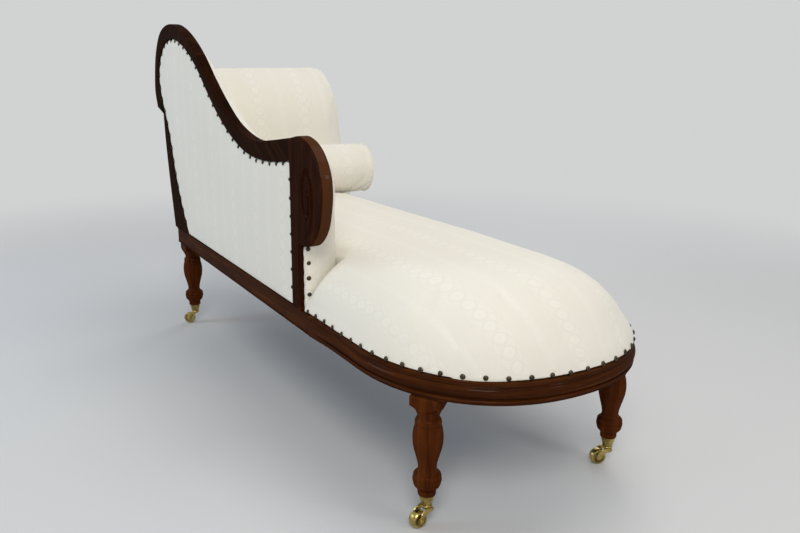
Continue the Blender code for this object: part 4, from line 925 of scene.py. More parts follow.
def makeRails():
    def section(point, outward, profile):
        return [Vector((*(point - outward * cut), z)) for cut, z in profile]

    def railFrom(name, rows, node):
        onBody(loft(name, rows, railWood, wrap=True, corner=32.0), "frame", "mahogany", node)

    start = postFrontX + moulding["start"]
    rows, stops = [], 24
    for i in range(stops):
        share = i / stops
        depth = math.sin(share * math.pi / 2)
        x = start + moulding["stopLength"] * share
        rows.append(section(Vector((x, -sideY)), Vector((0, -1)), mouldingProfile(depth)))
    full = mouldingProfile(1.0)
    endX = start + moulding["stopLength"]
    for i in range(8):
        x = endX + (curveStartX - endX) * i / 8
        rows.append(section(Vector((x, -sideY)), Vector((0, -1)), full))
    rows += [section(point, out, full) for point, out in footRun(0.0, 120)]
    railFrom("footRail", rows, "foot_moulded_rail")

    rows = []
    for i in range(25):
        x = curveStartX - chaise["gap"] + (headEndX - curveStartX) * i / 24
        rows.append(section(Vector((x, sideY)), Vector((0, 1)), full))
    railFrom("openSideRail", rows, "front_side_rail")

    edge, thick = 0.0025, chaise["railThick"]
    plain = []
    for k, (cx, cz) in enumerate(((0, railTop), (0, railBase), (thick, railBase), (thick, railTop))):
        for i in range(4):
            angle = math.pi / 2 * i / 3
            inX, inZ = (1 if cx == 0 else -1), (-1 if cz == railTop else 1)
            swing = (math.sin(angle), math.cos(angle)) if k % 2 == 0 else (math.cos(angle), math.sin(angle))
            plain.append((cx + inX * edge * (1 - swing[1]), cz + inZ * edge * (1 - swing[0])))
    rows = []
    for i in range(31):
        x = headEndX + (start - chaise["gap"] - headEndX) * i / 30
        rows.append(section(Vector((x, -sideY)), Vector((0, -1)), plain))
    railFrom("backRail", rows, "back_side_rail")
    rows = []
    inner = sideY - thick - chaise["gap"]
    for i in range(13):
        y = -inner + inner * 2 * i / 12
        rows.append(section(Vector((headEndX, y)), Vector((-1, 0)), plain))
    railFrom("headRail", rows, "head_rail")


leg = {
    "block": 0.061, "blockBase": 0.277, "swell": 0.046, "radius": 0.0320, "neckRadius": 0.0223,
    "neck": 0.2475,
    "inset": 0.036, "footSetback": 0.167, "footInset": 0.0726, "footTurn": math.radians(30.3),
    "cupTop": 0.0690, "peg": 0.0125, "pegLength": 0.006, "arris": 0.0010, "sides": 96,
}
# (share of the radius, share of the length from the cup): vase neck, vase, ring, ankle
legTurningShares = (
    ((0.694, 0.985), (0.819, 0.9580), (0.869, 0.9300), (0.862, 0.9048), (0.831, 0.8936)),
    ((0.840, 0.8920), (0.869, 0.8824), (0.953, 0.8179), (0.997, 0.7395), (0.975, 0.6611), (0.875, 0.5714),
     (0.725, 0.4706), (0.628, 0.3922), (0.606, 0.3473), (0.641, 0.3193), (0.812, 0.2857), (0.925, 0.2480),
     (0.930, 0.2260)),
    ((0.900, 0.2213), (0.953, 0.2100), (0.906, 0.1569), (0.734, 0.1036), (0.569, 0.0728)),
    ((0.597, 0.0640), (0.604, 0.0400), (0.597, 0.0168), (0.547, 0.0017)),
)


def legPlaces():
    headAt, headY = headEndX + leg["inset"], sideY - leg["inset"]
    footAt, footY = footX - leg["footSetback"], sideY - leg["footInset"]
    return (
        ("foot_near", footAt, -footY, leg["footTurn"]), ("foot_far", footAt, footY, -leg["footTurn"]),
        ("head_near", headAt, -headY, 0.0), ("head_far", headAt, headY, 0.0),
    )


def legRows():
    half, neck, base = leg["block"] / 2, leg["neck"], leg["blockBase"]
    top = railBase - chaise["gap"]
    tongue = smoothRun([
        (leg["swell"], base), (half * 1.12, base - (base - neck) * 0.25),
        (leg["neckRadius"] + (half - leg["neckRadius"]) * 0.45, base - (base - neck) * 0.66),
        (leg["neckRadius"], neck - 0.0004),
    ], 8)
    heights = [(farOff, top), (farOff, top - 0.0012), (farOff, (top + base) / 2)]
    heights.append((leg["swell"] + 0.004, base + 0.0005))
    heights += [(r, z) for r, z in tongue]
    length = neck - leg["cupTop"]
    for part in legTurningShares:
        heights += [(leg["radius"] * r, leg["cupTop"] + length * z) for r, z in smoothRun(part, 5)]
    heights.append((leg["peg"], leg["cupTop"] + chaise["gap"]))
    heights.append((leg["peg"], leg["cupTop"] - leg["pegLength"]))
    rows = []
    for i, (swell, z) in enumerate(heights):
        row = []
        for j in range(leg["sides"]):
            angle = math.tau * j / leg["sides"]
            c, s = abs(math.cos(angle)), abs(math.sin(angle))
            easing = leg["arris"] if i == 0 else 0.0
            square = (half - easing) / (c ** 16 + s ** 16) ** (1 / 16)
            r = min(square, swell)
            row.append(Vector((r * math.cos(angle), r * math.sin(angle), z)))
        rows.append(row)
    return rows


def makeLegs():
    for k, (name, x, y, turn) in enumerate(legPlaces()):
        stand = Matrix.Translation((x, y, 0.0)) @ Matrix.Rotation(turn, 4, "Z")
        rows = [[stand @ p for p in row] for row in legRows()]
        made = loft("leg." + name, rows, legWood, wrap=True, corner=33.0)

        def rule(p, n):
            outX, outY = p[:, 0] - x, p[:, 1] - y
            spin = np.arctan2(outY, outX)
            return p[:, 2] + k * 0.83, outX * 0.7 + outY * 0.7 + np.sin(spin * 2) * 0.002 + k
        layOut(made, "grain", rule)
        onBody(made, "frame", "mahogany", "leg_" + name)


makeBackBoards()
makeRails()
makeLegs()
print("show-wood made")


# Castors

castor = {
    "cupTop": 0.0710, "cupBase": 0.0425, "topRadius": 0.0172, "baseRadius": 0.0114, "bore": 0.0044,
    "socket": 0.0128, "socketDepth": 0.0078, "flare": ((0.0152, 0.0610), (0.0129, 0.0520)),
    "wheelRadius": 0.019, "wheelWide": 0.022, "tread": 0.0062, "axleHole": 0.0029, "forkEase": 0.0006,
    "screwRadius": 0.0019, "screwZ": 0.0615, "screwOut": 0.01535, "screws": 3,
}


# The cup on the leg's foot: socket, rolled rim, flare and foot bead, with its screw heads
def makeCup(name, x, y):
    c = castor
    top, base, wide, narrow = c["cupTop"], c["cupBase"], c["topRadius"], c["baseRadius"]
    rim = [
        (c["socket"], top - c["socketDepth"]), (c["socket"], top - 0.0012), (wide - 0.0020, top),
        (wide - 0.0005, top), (wide + 0.0004, top - 0.0007), (wide + 0.0006, top - 0.0015),
        (wide + 0.0003, top - 0.0024), (wide - 0.0007, top - 0.0031),
    ]
    flare = smoothRun([rim[-1], *c["flare"], (narrow, base + 0.0032)], 6)
    foot = [
        (narrow + 0.0007, base + 0.0024), (narrow + 0.0009, base + 0.0014), (narrow + 0.0004, base + 0.0004),
        (narrow, base), (c["bore"], base), (c["bore"], base + 0.012),
    ]
    screwHead = [
        (0.0, 0.0012), (0.0010, 0.0011), (0.0017, 0.0006), (c["screwRadius"], 0.0),
        (c["screwRadius"], -0.001),
    ]
    at = Matrix.Translation((x, y, 0.0))
    cup = turned("castorCup." + name, rim + [(r, z) for r, z in flare[1:]] + foot, 48, castBrass)
    cup.data.transform(at)
    pieces = [cup]
    for k in range(c["screws"]):
        angle = math.tau * (k / c["screws"] + 0.08)
        screw = turned("screw", screwHead, 14, castBrass)
        out = Vector((math.cos(angle), math.sin(angle), 0.12)).normalized()
        turn = out.to_track_quat("Z", "Y").to_matrix().to_4x4()
        spot = Vector((0, 0, c["screwZ"])) + out * c["screwOut"]
        screw.data.transform(at @ Matrix.Translation(spot) @ turn)
        pieces.append(screw)
    onBody(joined("castorCup." + name, pieces), "frame", "brass", "castor_cup_" + name)


# The wheel: hub, dished side and crowned tread, mirrored, turned about its axle
def makeWheel(name):
    low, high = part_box("castor_wheel_" + name)
    half, tread, r = castor["wheelWide"] / 2, castor["tread"], castor["wheelRadius"]
    side = [
        (castor["axleHole"], half), (0.0052, half), (0.0060, half - 0.0009), (0.0120, half - 0.0012),
        (0.0140, half - 0.0006), (r - 0.0033, half - 0.0008), (r - 0.0018, half - 0.0024),
        (r - 0.0005, tread), (r, tread * 0.5), (r + 0.00005, 0.0),
    ]
    profile = side + [(a, -b) for a, b in side[-2::-1]] + [side[0]]
    wheel = turned("castorWheel." + name, profile, 64, castBrass, caps=False)
    turn = axleHeading(name).to_track_quat("Z", "X").to_matrix().to_4x4()
    wheel.data.transform(Matrix.Translation((low + high) / 2) @ turn)
    onBody(wheel, "castor_roller_" + name, "brass", "castor_wheel_" + name)


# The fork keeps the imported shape, cleaned of its facets' inner lines and eased on its edges
def makeFork(name):
    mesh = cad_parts["castor_horn_" + name].data.copy()
    fork = bpy.data.objects.new("castorFork." + name, mesh)
    bpy.context.scene.collection.objects.link(fork)
    shape = bmesh.new()
    shape.from_mesh(mesh)
    bmesh.ops.remove_doubles(shape, verts=shape.verts, dist=0.00002)
    bmesh.ops.dissolve_limit(shape, angle_limit=math.radians(2), verts=shape.verts, edges=shape.edges)
    shape.to_mesh(mesh)
    shape.free()
    mesh.materials.clear()
    eased = fork.modifiers.new("eased", "BEVEL")
    eased.width, eased.segments = castor["forkEase"], 2
    eased.limit_method, eased.angle_limit = "ANGLE", math.radians(35)
    finished(fork, castBrass, 50)
    onBody(fork, "castor_fork_" + name, "brass", "castor_horn_" + name)


def makeCastors():
    for name, x, y, _ in legPlaces():
        makeCup(name, x, y)
        makeWheel(name)
        makeFork(name)
        finishNode("castor_axle_" + name, castBrass)


# Direction of a castor's axle, from the pin's own points
def axleHeading(name):
    points = np.array([tuple(v.co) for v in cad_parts["castor_axle_" + name].data.vertices])
    spread = points - points.mean(0)
    _, vectors = np.linalg.eigh(spread.T @ spread)
    return Vector(vectors[:, -1])


def finishNode(name, finish):
    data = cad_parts[name].data
    data.materials.clear()
    data.materials.append(finish)


makeCastors()
print("castors made")


# Upholstery helpers

coverCloth = {"steps": 20, "quality": 4, "mass": 0.25, "stretch": 14.0, "bend": 0.4}


# Fills the cover from inside: a cloth simulation whose movement is capped, written into the mesh
def swell(piece, held, pressure, cap, steps=coverCloth["steps"], slack=0.0):
    mesh = piece.data
    start = np.zeros(len(mesh.vertices) * 3)
    mesh.vertices.foreach_get("co", start)
    start = start.reshape(-1, 3)
    group = piece.vertex_groups.new(name="held")
    group.add([int(i) for i in np.nonzero(held(start))[0]], 1.0, "ADD")
    cover = piece.modifiers.new("cover", "CLOTH")
    s = cover.settings
    s.vertex_group_mass = "held"
    s.quality = coverCloth["quality"]
    s.mass = coverCloth["mass"]
    s.tension_stiffness = s.compression_stiffness = coverCloth["stretch"]
    s.shear_stiffness = coverCloth["stretch"] / 2
    s.bending_stiffness = coverCloth["bend"]
    s.use_pressure = True
    s.uniform_pressure_force = pressure
    s.shrink_min = slack
    s.effector_weights.gravity = 0.0
    cover.collision_settings.use_collision = False
    cover.point_cache.frame_start, cover.point_cache.frame_end = 1, steps
    scene = bpy.context.scene
    for step in range(1, steps + 1):
        scene.frame_set(step)
    evaluated = piece.evaluated_get(bpy.context.evaluated_depsgraph_get())
    end = np.zeros(len(mesh.vertices) * 3)
    evaluated.data.vertices.foreach_get("co", end)
    move = end.reshape(-1, 3) - start
    size = np.linalg.norm(move, axis=1)
    move *= np.where(size > cap, cap / np.maximum(size, 1e-9), 1.0)[:, None]
    piece.modifiers.remove(cover)
    piece.vertex_groups.remove(group)
    mesh.vertices.foreach_set("co", (start + move).ravel())
    mesh.update()
    scene.frame_set(1)
    print(piece.name, "filled, most it moved", round(float(np.minimum(size, cap).max()) * 1000, 1), "mm")


# Moves a piece's points by a rule on their places and normals
def reshape(piece, change):
    mesh = piece.data
    places = np.zeros(len(mesh.vertices) * 3)
    mesh.vertices.foreach_get("co", places)
    facing = np.zeros(len(mesh.vertices) * 3)
    mesh.vertex_normals.foreach_get("vector", facing)
    mesh.vertices.foreach_set("co", change(places.reshape(-1, 3), facing.reshape(-1, 3)).ravel())
    mesh.update()


def smoother(piece):
    shape = bmesh.new()
    shape.from_mesh(piece.data)
    bmesh.ops.triangulate(shape, faces=[f for f in shape.faces if len(f.verts) > 6])
    shape.to_mesh(piece.data)
    shape.free()
    made = piece.modifiers.new("smoother", "SUBSURF")
    made.levels = made.render_levels = 1


def ease(value):
    value = np.clip(value, 0, 1)
    return value * value * (3 - 2 * value)


# domeShares: (share of the radius, share of the rise) of the rings round the head
nail = {
    "radius": 0.0056, "rise": 0.0034, "sides": 14, "drift": 0.0012, "tilt": 0.09,
    "domeShares": ((0.34, 0.93), (0.62, 0.74), (0.84, 0.44), (0.97, 0.12), (1.0, -0.15)),
}
chance = random.Random(7)


# Dome-headed nails; every head is a little out of line with its neighbours
def nailRow(name, places, normals, radius=nail["radius"], rise=nail["rise"]):
    sides, domeShares = nail["sides"], nail["domeShares"]
    points, faces = [], []
    for at, out in zip(places, normals):
        out = Vector(out).normalized()
        tilt = Vector([chance.uniform(-nail["tilt"], nail["tilt"]) for _ in range(3)])
        turn = (out + tilt).normalized().to_track_quat("Z", "Y").to_matrix()
        size = radius * chance.uniform(0.94, 1.06)
        drift = Vector([chance.uniform(-1, 1) * nail["drift"] for _ in range(3)])
        drift -= out * drift.dot(out)
        middle = Vector(at) + drift
        base = len(points)
        points.append(middle + turn @ Vector((0, 0, rise)))
        for wide, high in domeShares:
            points += [middle + turn @ p for p in circle(size * wide, rise * high, sides)]
        for j in range(sides):
            faces.append((base, base + 1 + j, base + 1 + (j + 1) % sides))
        for r in range(len(domeShares) - 1):
            for j in range(sides):
                a, b = base + 1 + r * sides, base + 1 + (r + 1) * sides
                k = (j + 1) % sides
                faces.append((a + j, b + j, b + k, a + k))
        last = base + 1 + (len(domeShares) - 1) * sides
        faces.append(tuple(last + j for j in range(sides))[::-1])
    onBody(makePiece(name, points, faces, nailBronze, 60.0), "frame", "brass")


# Seat

seat = {
    "crownHead": 0.115, "crownFoot": 0.142, "power": 4.8, "root": 0.9, "rows": 34, "straight": 46, "arc": 88,
    "rowBunch": 1.75, "headCut": -0.627, "tuckDrop": 0.016, "tuckWide": 0.030, "endDrop": 0.010,
    "pull": 0.0016, "pullReach": 0.020, "fold": 0.0007, "foldReach": 0.055,
    "pressure": 3.5, "mostSwell": 0.004, "nailZ": 0.0072, "nailsFrom": 0.006, "nailsShort": 0.155,
}
# The bolster lies in the seat, so its place is read first
bolster = {
    "radius": 0.085, "length": 0.507, "setIn": 0.0015, "sides": 72, "stations": 56, "crown": 0.012,
    "crownShare": 0.95, "folds": 30, "foldDeep": 0.0026, "endRings": 16, "seamShare": 0.970, "welt": 0.0034,
    "weltShare": 0.8, "button": 0.011, "buttonIn": 0.0055, "pressure": 8.0, "mostSwell": 0.0035,
    "slack": -0.03,
}
bolsterLow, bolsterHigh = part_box("bolster")
bolsterX, bolsterY, bolsterZ = [(low + high) / 2 for low, high in zip(bolsterLow, bolsterHigh)]


def seatLine(share):
    halfWide = (sideY - chaise["seatSetIn"]) * share
    halfLong = (chaise["footCurve"] - chaise["seatSetIn"]) * share
    startX = headEndX + 0.060
    line = []
    for i in range(seat["straight"]):
        line.append((startX + (curveStartX - startX) * i / seat["straight"], -halfWide))
    for i in range(seat["arc"] + 1):
        angle = math.pi * (i / seat["arc"] - 0.5)
        across, along = math.sin(angle), math.cos(angle)
        x = halfLong * abs(along) ** (2 / chaise["footRound"])
        y = halfWide * math.copysign(abs(across) ** (2 / chaise["footRound"]), across)
        line.append((curveStartX + x, y))
    return line + [(x, halfWide) for x, _ in line[seat["straight"] - 1:: -1]]


def seatHeight(x, share):
    toward = (x - headEndX) / (footX - headEndX)
    crown = seat["crownHead"] + (seat["crownFoot"] - seat["crownHead"]) * min(1.0, toward * 1.6)
    return railTop + chaise["seatSetIn"] + crown * (1.0 - share ** seat["power"]) ** seat["root"]


# The dome is laid row by row from its edge to its middle, cut off at the head, notched for the inside
# back pad, and closed down to the rail
def seatMesh(wallY, notchX):
    shape = bmesh.new()
    rows = []
    for k in range(seat["rows"] + 1):
        share = 1.0 - (k / seat["rows"]) ** seat["rowBunch"]
        rows.append([shape.verts.new((x, y, seatHeight(x, share))) for x, y in seatLine(share)])
    base = [shape.verts.new((x, y, seatBase)) for x, y in seatLine(1.0)]
    for outer, inner in zip([base] + rows, rows):
        for i in range(len(inner) - 1):
            shape.faces.new((outer[i], outer[i + 1], inner[i + 1], inner[i]))
    bmesh.ops.remove_doubles(shape, verts=shape.verts, dist=0.0002)
    bmesh.ops.dissolve_degenerate(shape, edges=shape.edges, dist=0.0001)
    for origin, normal, clear in (
        ((seat["headCut"], 0, 0), (1, 0, 0), True),
        ((0, wallY, 0), (0, 1, 0), False),
        ((notchX, 0, 0), (1, 0, 0), False),
    ):
        parts = list(shape.verts) + list(shape.edges) + list(shape.faces)
        bmesh.ops.bisect_plane(
            shape, geom=parts, plane_co=origin, plane_no=normal, clear_inner=clear, dist=0.0001,
        )
    middles = [(f, f.calc_center_median()) for f in shape.faces]
    gone = [f for f, at in middles if at.x < notchX - 1e-4 and at.y < wallY - 1e-4]
    bmesh.ops.delete(shape, geom=gone, context="FACES")
    rim = [e for e in shape.edges if e.is_boundary and max(v.co.z for v in e.verts) > railTop + 0.001]
    grown = bmesh.ops.extrude_edge_only(shape, edges=rim)["geom"]
    for item in grown:
        if isinstance(item, bmesh.types.BMVert):
            item.co.z = seatBase
    bmesh.ops.remove_doubles(shape, verts=shape.verts, dist=0.0003)
    bmesh.ops.holes_fill(shape, edges=[e for e in shape.edges if e.is_boundary], sides=0)
    bmesh.ops.recalc_face_normals(shape, faces=shape.faces)
    # The faces are put in one fixed order, because cutting leaves them in any and the cloth follows it
    shape.verts.index_update()
    points = [tuple(v.co) for v in shape.verts]
    faces = []
    for face in shape.faces:
        ring = [v.index for v in face.verts]
        first = ring.index(min(ring))
        faces.append(ring[first:] + ring[:first])
    shape.free()
    mesh = bpy.data.meshes.new("seatCover")
    mesh.from_pydata(points, [], sorted(faces))
    return mesh


def makeSeat():
    wallY, notchX = padFaceY + 0.0010, lipX + 0.0008
    cover = bpy.data.objects.new("seatCover", seatMesh(wallY, notchX))
    bpy.context.scene.collection.objects.link(cover)
    finished(cover, ivoryDamask, 55)

    def held(p):
        wall = (p[:, 1] < wallY + 0.004) & (p[:, 0] < notchX + 0.004)
        return (p[:, 2] < railTop + 0.012) | wall | (p[:, 0] < seat["headCut"] + 0.004)
    swell(cover, held, seat["pressure"], seat["mostSwell"])

    # Tucked down where it meets the pads
    def tuck(p):
        onTop = ease((p[:, 2] - railTop - 0.015) / 0.05)
        nearPad = np.where(p[:, 0] < notchX + 0.02, p[:, 1] - wallY, 1.0)
        drop = seat["tuckDrop"] * (1 - ease(nearPad / seat["tuckWide"]))
        drop = drop * ease((notchX + 0.012 - p[:, 0]) / 0.03)
        nearHead = p[:, 0] - seat["headCut"]
        drop = np.maximum(drop, seat["tuckDrop"] * (1 - ease(nearHead / seat["tuckWide"])))
        nearEnd = np.where(p[:, 1] < wallY, p[:, 0] - notchX, 1.0)
        endDrop = seat["endDrop"] * (1 - ease(nearEnd / 0.020)) * ease((wallY - p[:, 1]) / 0.02)
        p[:, 2] -= np.maximum(drop, endDrop) * onTop

    # Pressed down under the bolster
    def bed(p):
        across = np.abs(p[:, 0] - bolsterX)
        radius = bolster["radius"] + 0.0006
        floor = bolsterZ - np.sqrt(np.clip(radius ** 2 - across ** 2, 0, None))
        along = np.abs(p[:, 1] - bolsterY)
        here = (across < radius * 0.8) & (along < bolster["length"] / 2 + 0.004) & (p[:, 2] > railTop + 0.05)
        p[:, 2] = np.where(here, np.minimum(p[:, 2], floor), p[:, 2])

    def settle(p, n):
        p = p.copy()
        tuck(p)
        bed(p)
        above = p[:, 2] - railTop
        turn = math.pi * seatArcLength(p) / chaise["nailPitch"]
        hem = (1 - ease((above - 0.004) / seat["pullReach"])) * ease((above - 0.001) / 0.004)
        outward = n.copy()
        outward[:, 2] = 0
        outward /= np.maximum(np.linalg.norm(outward, axis=1), 1e-6)[:, None]
        outer = (p[:, 1] > wallY) | (p[:, 0] > notchX + 0.002)
        p += outward * (seat["pull"] * (np.abs(np.sin(turn)) - 0.75) * hem * outer)[:, None]
        fold = (1 - ease((above - 0.010) / seat["foldReach"])) * ease((above - 0.006) / 0.012)
        ripple = seat["fold"] * np.cos(math.tau * seatArcLength(p) / chaise["nailPitch"])
        p += n * (ripple * fold * outer)[:, None]
        return p
    reshape(cover, settle)

    # The cloth runs straight over the top and turns down at the sides
    def cloth(p, n):
        fall = np.clip(railTop + 0.13 - p[:, 2], 0, None)
        flatX, flatY = np.abs(n[:, 0]), np.abs(n[:, 1])
        total = np.maximum(flatX + flatY, 1e-4)
        u = p[:, 1] + np.sign(p[:, 1]) * fall * flatY / total
        v = p[:, 0] + fall * np.sign(n[:, 0]) * flatX / total
        return u + 0.041, v
    layOut(cover, "cloth", cloth)
    smoother(cover)
    onBody(cover, "frame", "ivory_damask", "seat_pad")
    nailSeat()


def nailSeat():
    keep = [Vector(p) for p in seatLine(1.0) if p[0] > lipX + seat["nailsFrom"] or p[1] > 0]
    keep = [p for p in keep if not (p.y > 0 and p.x < headEndX + seat["nailsShort"])]
    even = evenRun(keep, chaise["nailPitch"])
    places, outs = [], []
    for i, p in enumerate(even):
        along = (even[min(i + 1, len(even) - 1)] - even[max(i - 1, 0)]).normalized()
        out = Vector((along.y, -along.x, 0.10))
        places.append(Vector((p.x, p.y, railTop + seat["nailZ"])) + out.normalized() * 0.0004)
        outs.append(out)
    nailRow("seatNails", places, outs)


# (x, y, length) along the seat's edge
def edgeLengthTable():
    line = [Vector(p) for p in seatLine(1.0)]
    total, table = 0.0, []
    for a, b in zip(line, line[1:] + line[-1:]):
        table.append((a.x, a.y, total))
        total += (b - a).length
    return np.array(table)


lengthTable = edgeLengthTable()
fromFirstNail = np.abs(lengthTable[:, 0] - lipX - seat["nailsFrom"]) + (lengthTable[:, 1] > 0) * farOff
startLength = float(lengthTable[np.argmin(fromFirstNail), 2])


# Length along the seat's edge of the nearest edge point, counted from the first nail
def seatArcLength(p):
    out = np.zeros(len(p))
    low = p[:, 2] < railTop + 0.09
    for i in np.nonzero(low)[0]:
        k = int(np.argmin((lengthTable[:, 0] - p[i, 0]) ** 2 + (lengthTable[:, 1] - p[i, 1]) ** 2))
        a = lengthTable[k]
        b = lengthTable[min(k + 1, len(lengthTable) - 1)]
        step = b[:2] - a[:2]
        size = float(step @ step)
        share = 0.0 if size < 1e-12 else float((p[i, :2] - a[:2]) @ step) / size
        out[i] = a[2] + share * math.sqrt(size) - startLength
    return out


makeSeat()
print("seat made")


# Inside back

# endShare and tuckShare: how far the rounding reaches at the post and where the pad meets the head
backPad = {
    "reach": 0.075, "depth": 0.068, "overlap": 0.024, "overlapFrom": 0.30, "overlapReach": 0.16,
    "endShare": 0.35, "tuckShare": 0.22, "step": 0.010, "footStep": 0.012, "spacing": 0.013,
    "rings": (0.0016, 0.0045, 0.010, 0.018, 0.028), "lobeThin": 0.46, "lobeFrom": 0.62, "lobeRise": 0.30,
    "pressure": 3.0, "mostSwell": 0.005,
}


# The pad's outline and the share of each of its sides: up the frame's inner line, down the head's face
def insideBackOutline():
    def deeper(x):
        return float(ease((x - headX - backPad["overlapFrom"]) / backPad["overlapReach"]))

    def rounded(p):
        return round(p.x, 5), round(p.y, 5)
    shallow, deep = (shifted(frameInnerRun(), -backPad["overlap"] * share) for share in (0.5, 1.0))
    run = lifted([a.lerp(b, deeper(a.x)) for a, b in zip(shallow, deep)], seatBase)
    headLine = headFaceRun()
    behindX = headX - 0.05
    polygon = headLine + [Vector((behindX, headLine[-1].y)), Vector((behindX, seatBase))]
    first = int(np.argmax(insideOutline(np.array([tuple(p) for p in run]), polygon)))
    nearest = min(range(len(headLine)), key=lambda i: (headLine[i] - run[first]).length)
    left = evenRun(shifted(headLine, -0.0010)[: nearest + 1][::-1], backPad["step"])
    start, corner = Vector((lipX, run[0].y)), Vector((lipX, seatBase))
    outline = evenRun([start] + run[:first], backPad["step"]) + left[1:]
    outline += evenRun([outline[-1], corner], backPad["footStep"])[1:]
    outline += evenRun([corner, start], backPad["step"])[1:-1]
    leftSet = {rounded(p) for p in left}

    def share(a, b):
        if max(a.y, b.y) < seatBase + 0.001:
            return 0.0
        if min(a.x, b.x) > postFrontX:
            return backPad["endShare"]
        if rounded(a) in leftSet and rounded(b) in leftSet:
            return backPad["tuckShare"]
        return 1.0
    return outline, [share(a, b) for a, b in zip(outline, outline[1:] + outline[:1])]


def makeInsideBack():
    outline, shares = insideBackOutline()
    backY = boardInnerY + chaise["gap"]

    def height(places):
        away = edgeDistance(places, outline, shares)
        near = np.clip(1 - away / backPad["reach"], 0, 1)
        dome = 1 - backPad["depth"] / chaise["padThick"] * (1 - np.sqrt(np.clip(1 - near ** 2, 0, 1)))
        thin = 1 - backPad["lobeThin"] * ease((places[:, 1] - backPad["lobeFrom"]) / backPad["lobeRise"])
        return backY + (padFaceY - backY) * dome * thin
    pad = padOnPlane("insideBackCover", outline, backY, height, backPad["spacing"], backPad["rings"])

    def held(p):
        return (p[:, 1] < backY + 0.010) | (p[:, 2] < seatBase + 0.02) | (p[:, 0] > lipX - 0.012)
    swell(pad, held, backPad["pressure"], backPad["mostSwell"])

    # The cloth lies flat on the face and runs on round its edges
    def cloth(p, n):
        deep = padFaceY - p[:, 1]
        u = p[:, 0] + np.abs(n[:, 0]) * deep * np.sign(p[:, 0])
        return u, p[:, 2] + np.abs(n[:, 2]) * deep
    layOut(pad, "cloth", cloth)
    smoother(pad)
    onBody(pad, "frame", "ivory_damask", "inside_back_pad")
    makeLip()


lip = {
    "lowY": -0.318, "deep": 0.030, "topZ": 0.5028, "steps": 30, "waves": 5, "pull": 0.0012, "bulge": 0.0010,
    "nailY": -0.3090, "nailHeights": (0.497, 0.464, 0.425, 0.386, 0.359),
}


# The pad's cover brought round the post's front edge and nailed there
def makeLip():
    rows = []
    deepY = boardInnerY + lip["deep"]
    for i in range(lip["steps"] + 1):
        share = i / lip["steps"]
        z = seatBase + (lip["topZ"] - seatBase) * i / lip["steps"]
        nailWave = abs(math.sin(math.pi * share * lip["waves"]))
        lowY = lip["lowY"] - lip["pull"] * (nailWave - 0.6)
        bulge = lip["bulge"] * nailWave
        ring = [
            (postFrontX + 0.0003, deepY), (postFrontX + 0.0003, lowY + 0.0005), (postFrontX + 0.0018, lowY),
            (lipX - 0.0050, lowY + 0.0006), (lipX - 0.0020 + bulge * 0.5, lowY + 0.0022),
            (lipX - 0.0003 + bulge, lowY + 0.0050), (lipX + 0.0005 + bulge, lowY + 0.0095),
            (lipX + 0.0006, lowY + 0.016), (lipX + 0.0004, (lowY + deepY) / 2), (lipX - 0.0020, deepY),
        ]
        rows.append([Vector((x, y, z)) for x, y in ring])
    cover = loft("lipCover", rows, ivoryDamask, wrap=True, layer="cloth", corner=50.0)
    layOut(cover, "cloth", lambda p, n: (p[:, 1] + (lipX - p[:, 0]), p[:, 2]))
    smoother(cover)
    onBody(cover, "frame", "ivory_damask", "inside_back_pad")
    places = [Vector((lipX + 0.0008, lip["nailY"], z)) for z in lip["nailHeights"]]
    nailRow("lipNails", places, [Vector((1, -0.12, 0))] * len(places))


makeInsideBack()
print("inside back made")


# Head

head = {
    "nearY": boardInnerY + 0.0003, "farY": sideY - 0.035, "round": 0.028, "roundDepth": 0.045,
    "roundSteps": 9, "stations": 44, "frameDepth": 0.054, "pressure": 3.0, "mostSwell": 0.0045,
    "crease": 0.004, "creaseReach": 0.02,
}


# The head's section, and how many of its points lie on the face
def headOutline():
    back = headBackRun(head["frameDepth"] + chaise["gap"] * 2)
    back[0].y += chaise["gap"] * 2
    under = back[0] - Vector((head["frameDepth"], 0.0))
    face = evenRun(headFaceRun(), 0.0105)
    return face + [under] + evenRun(back, 0.014), len(face)


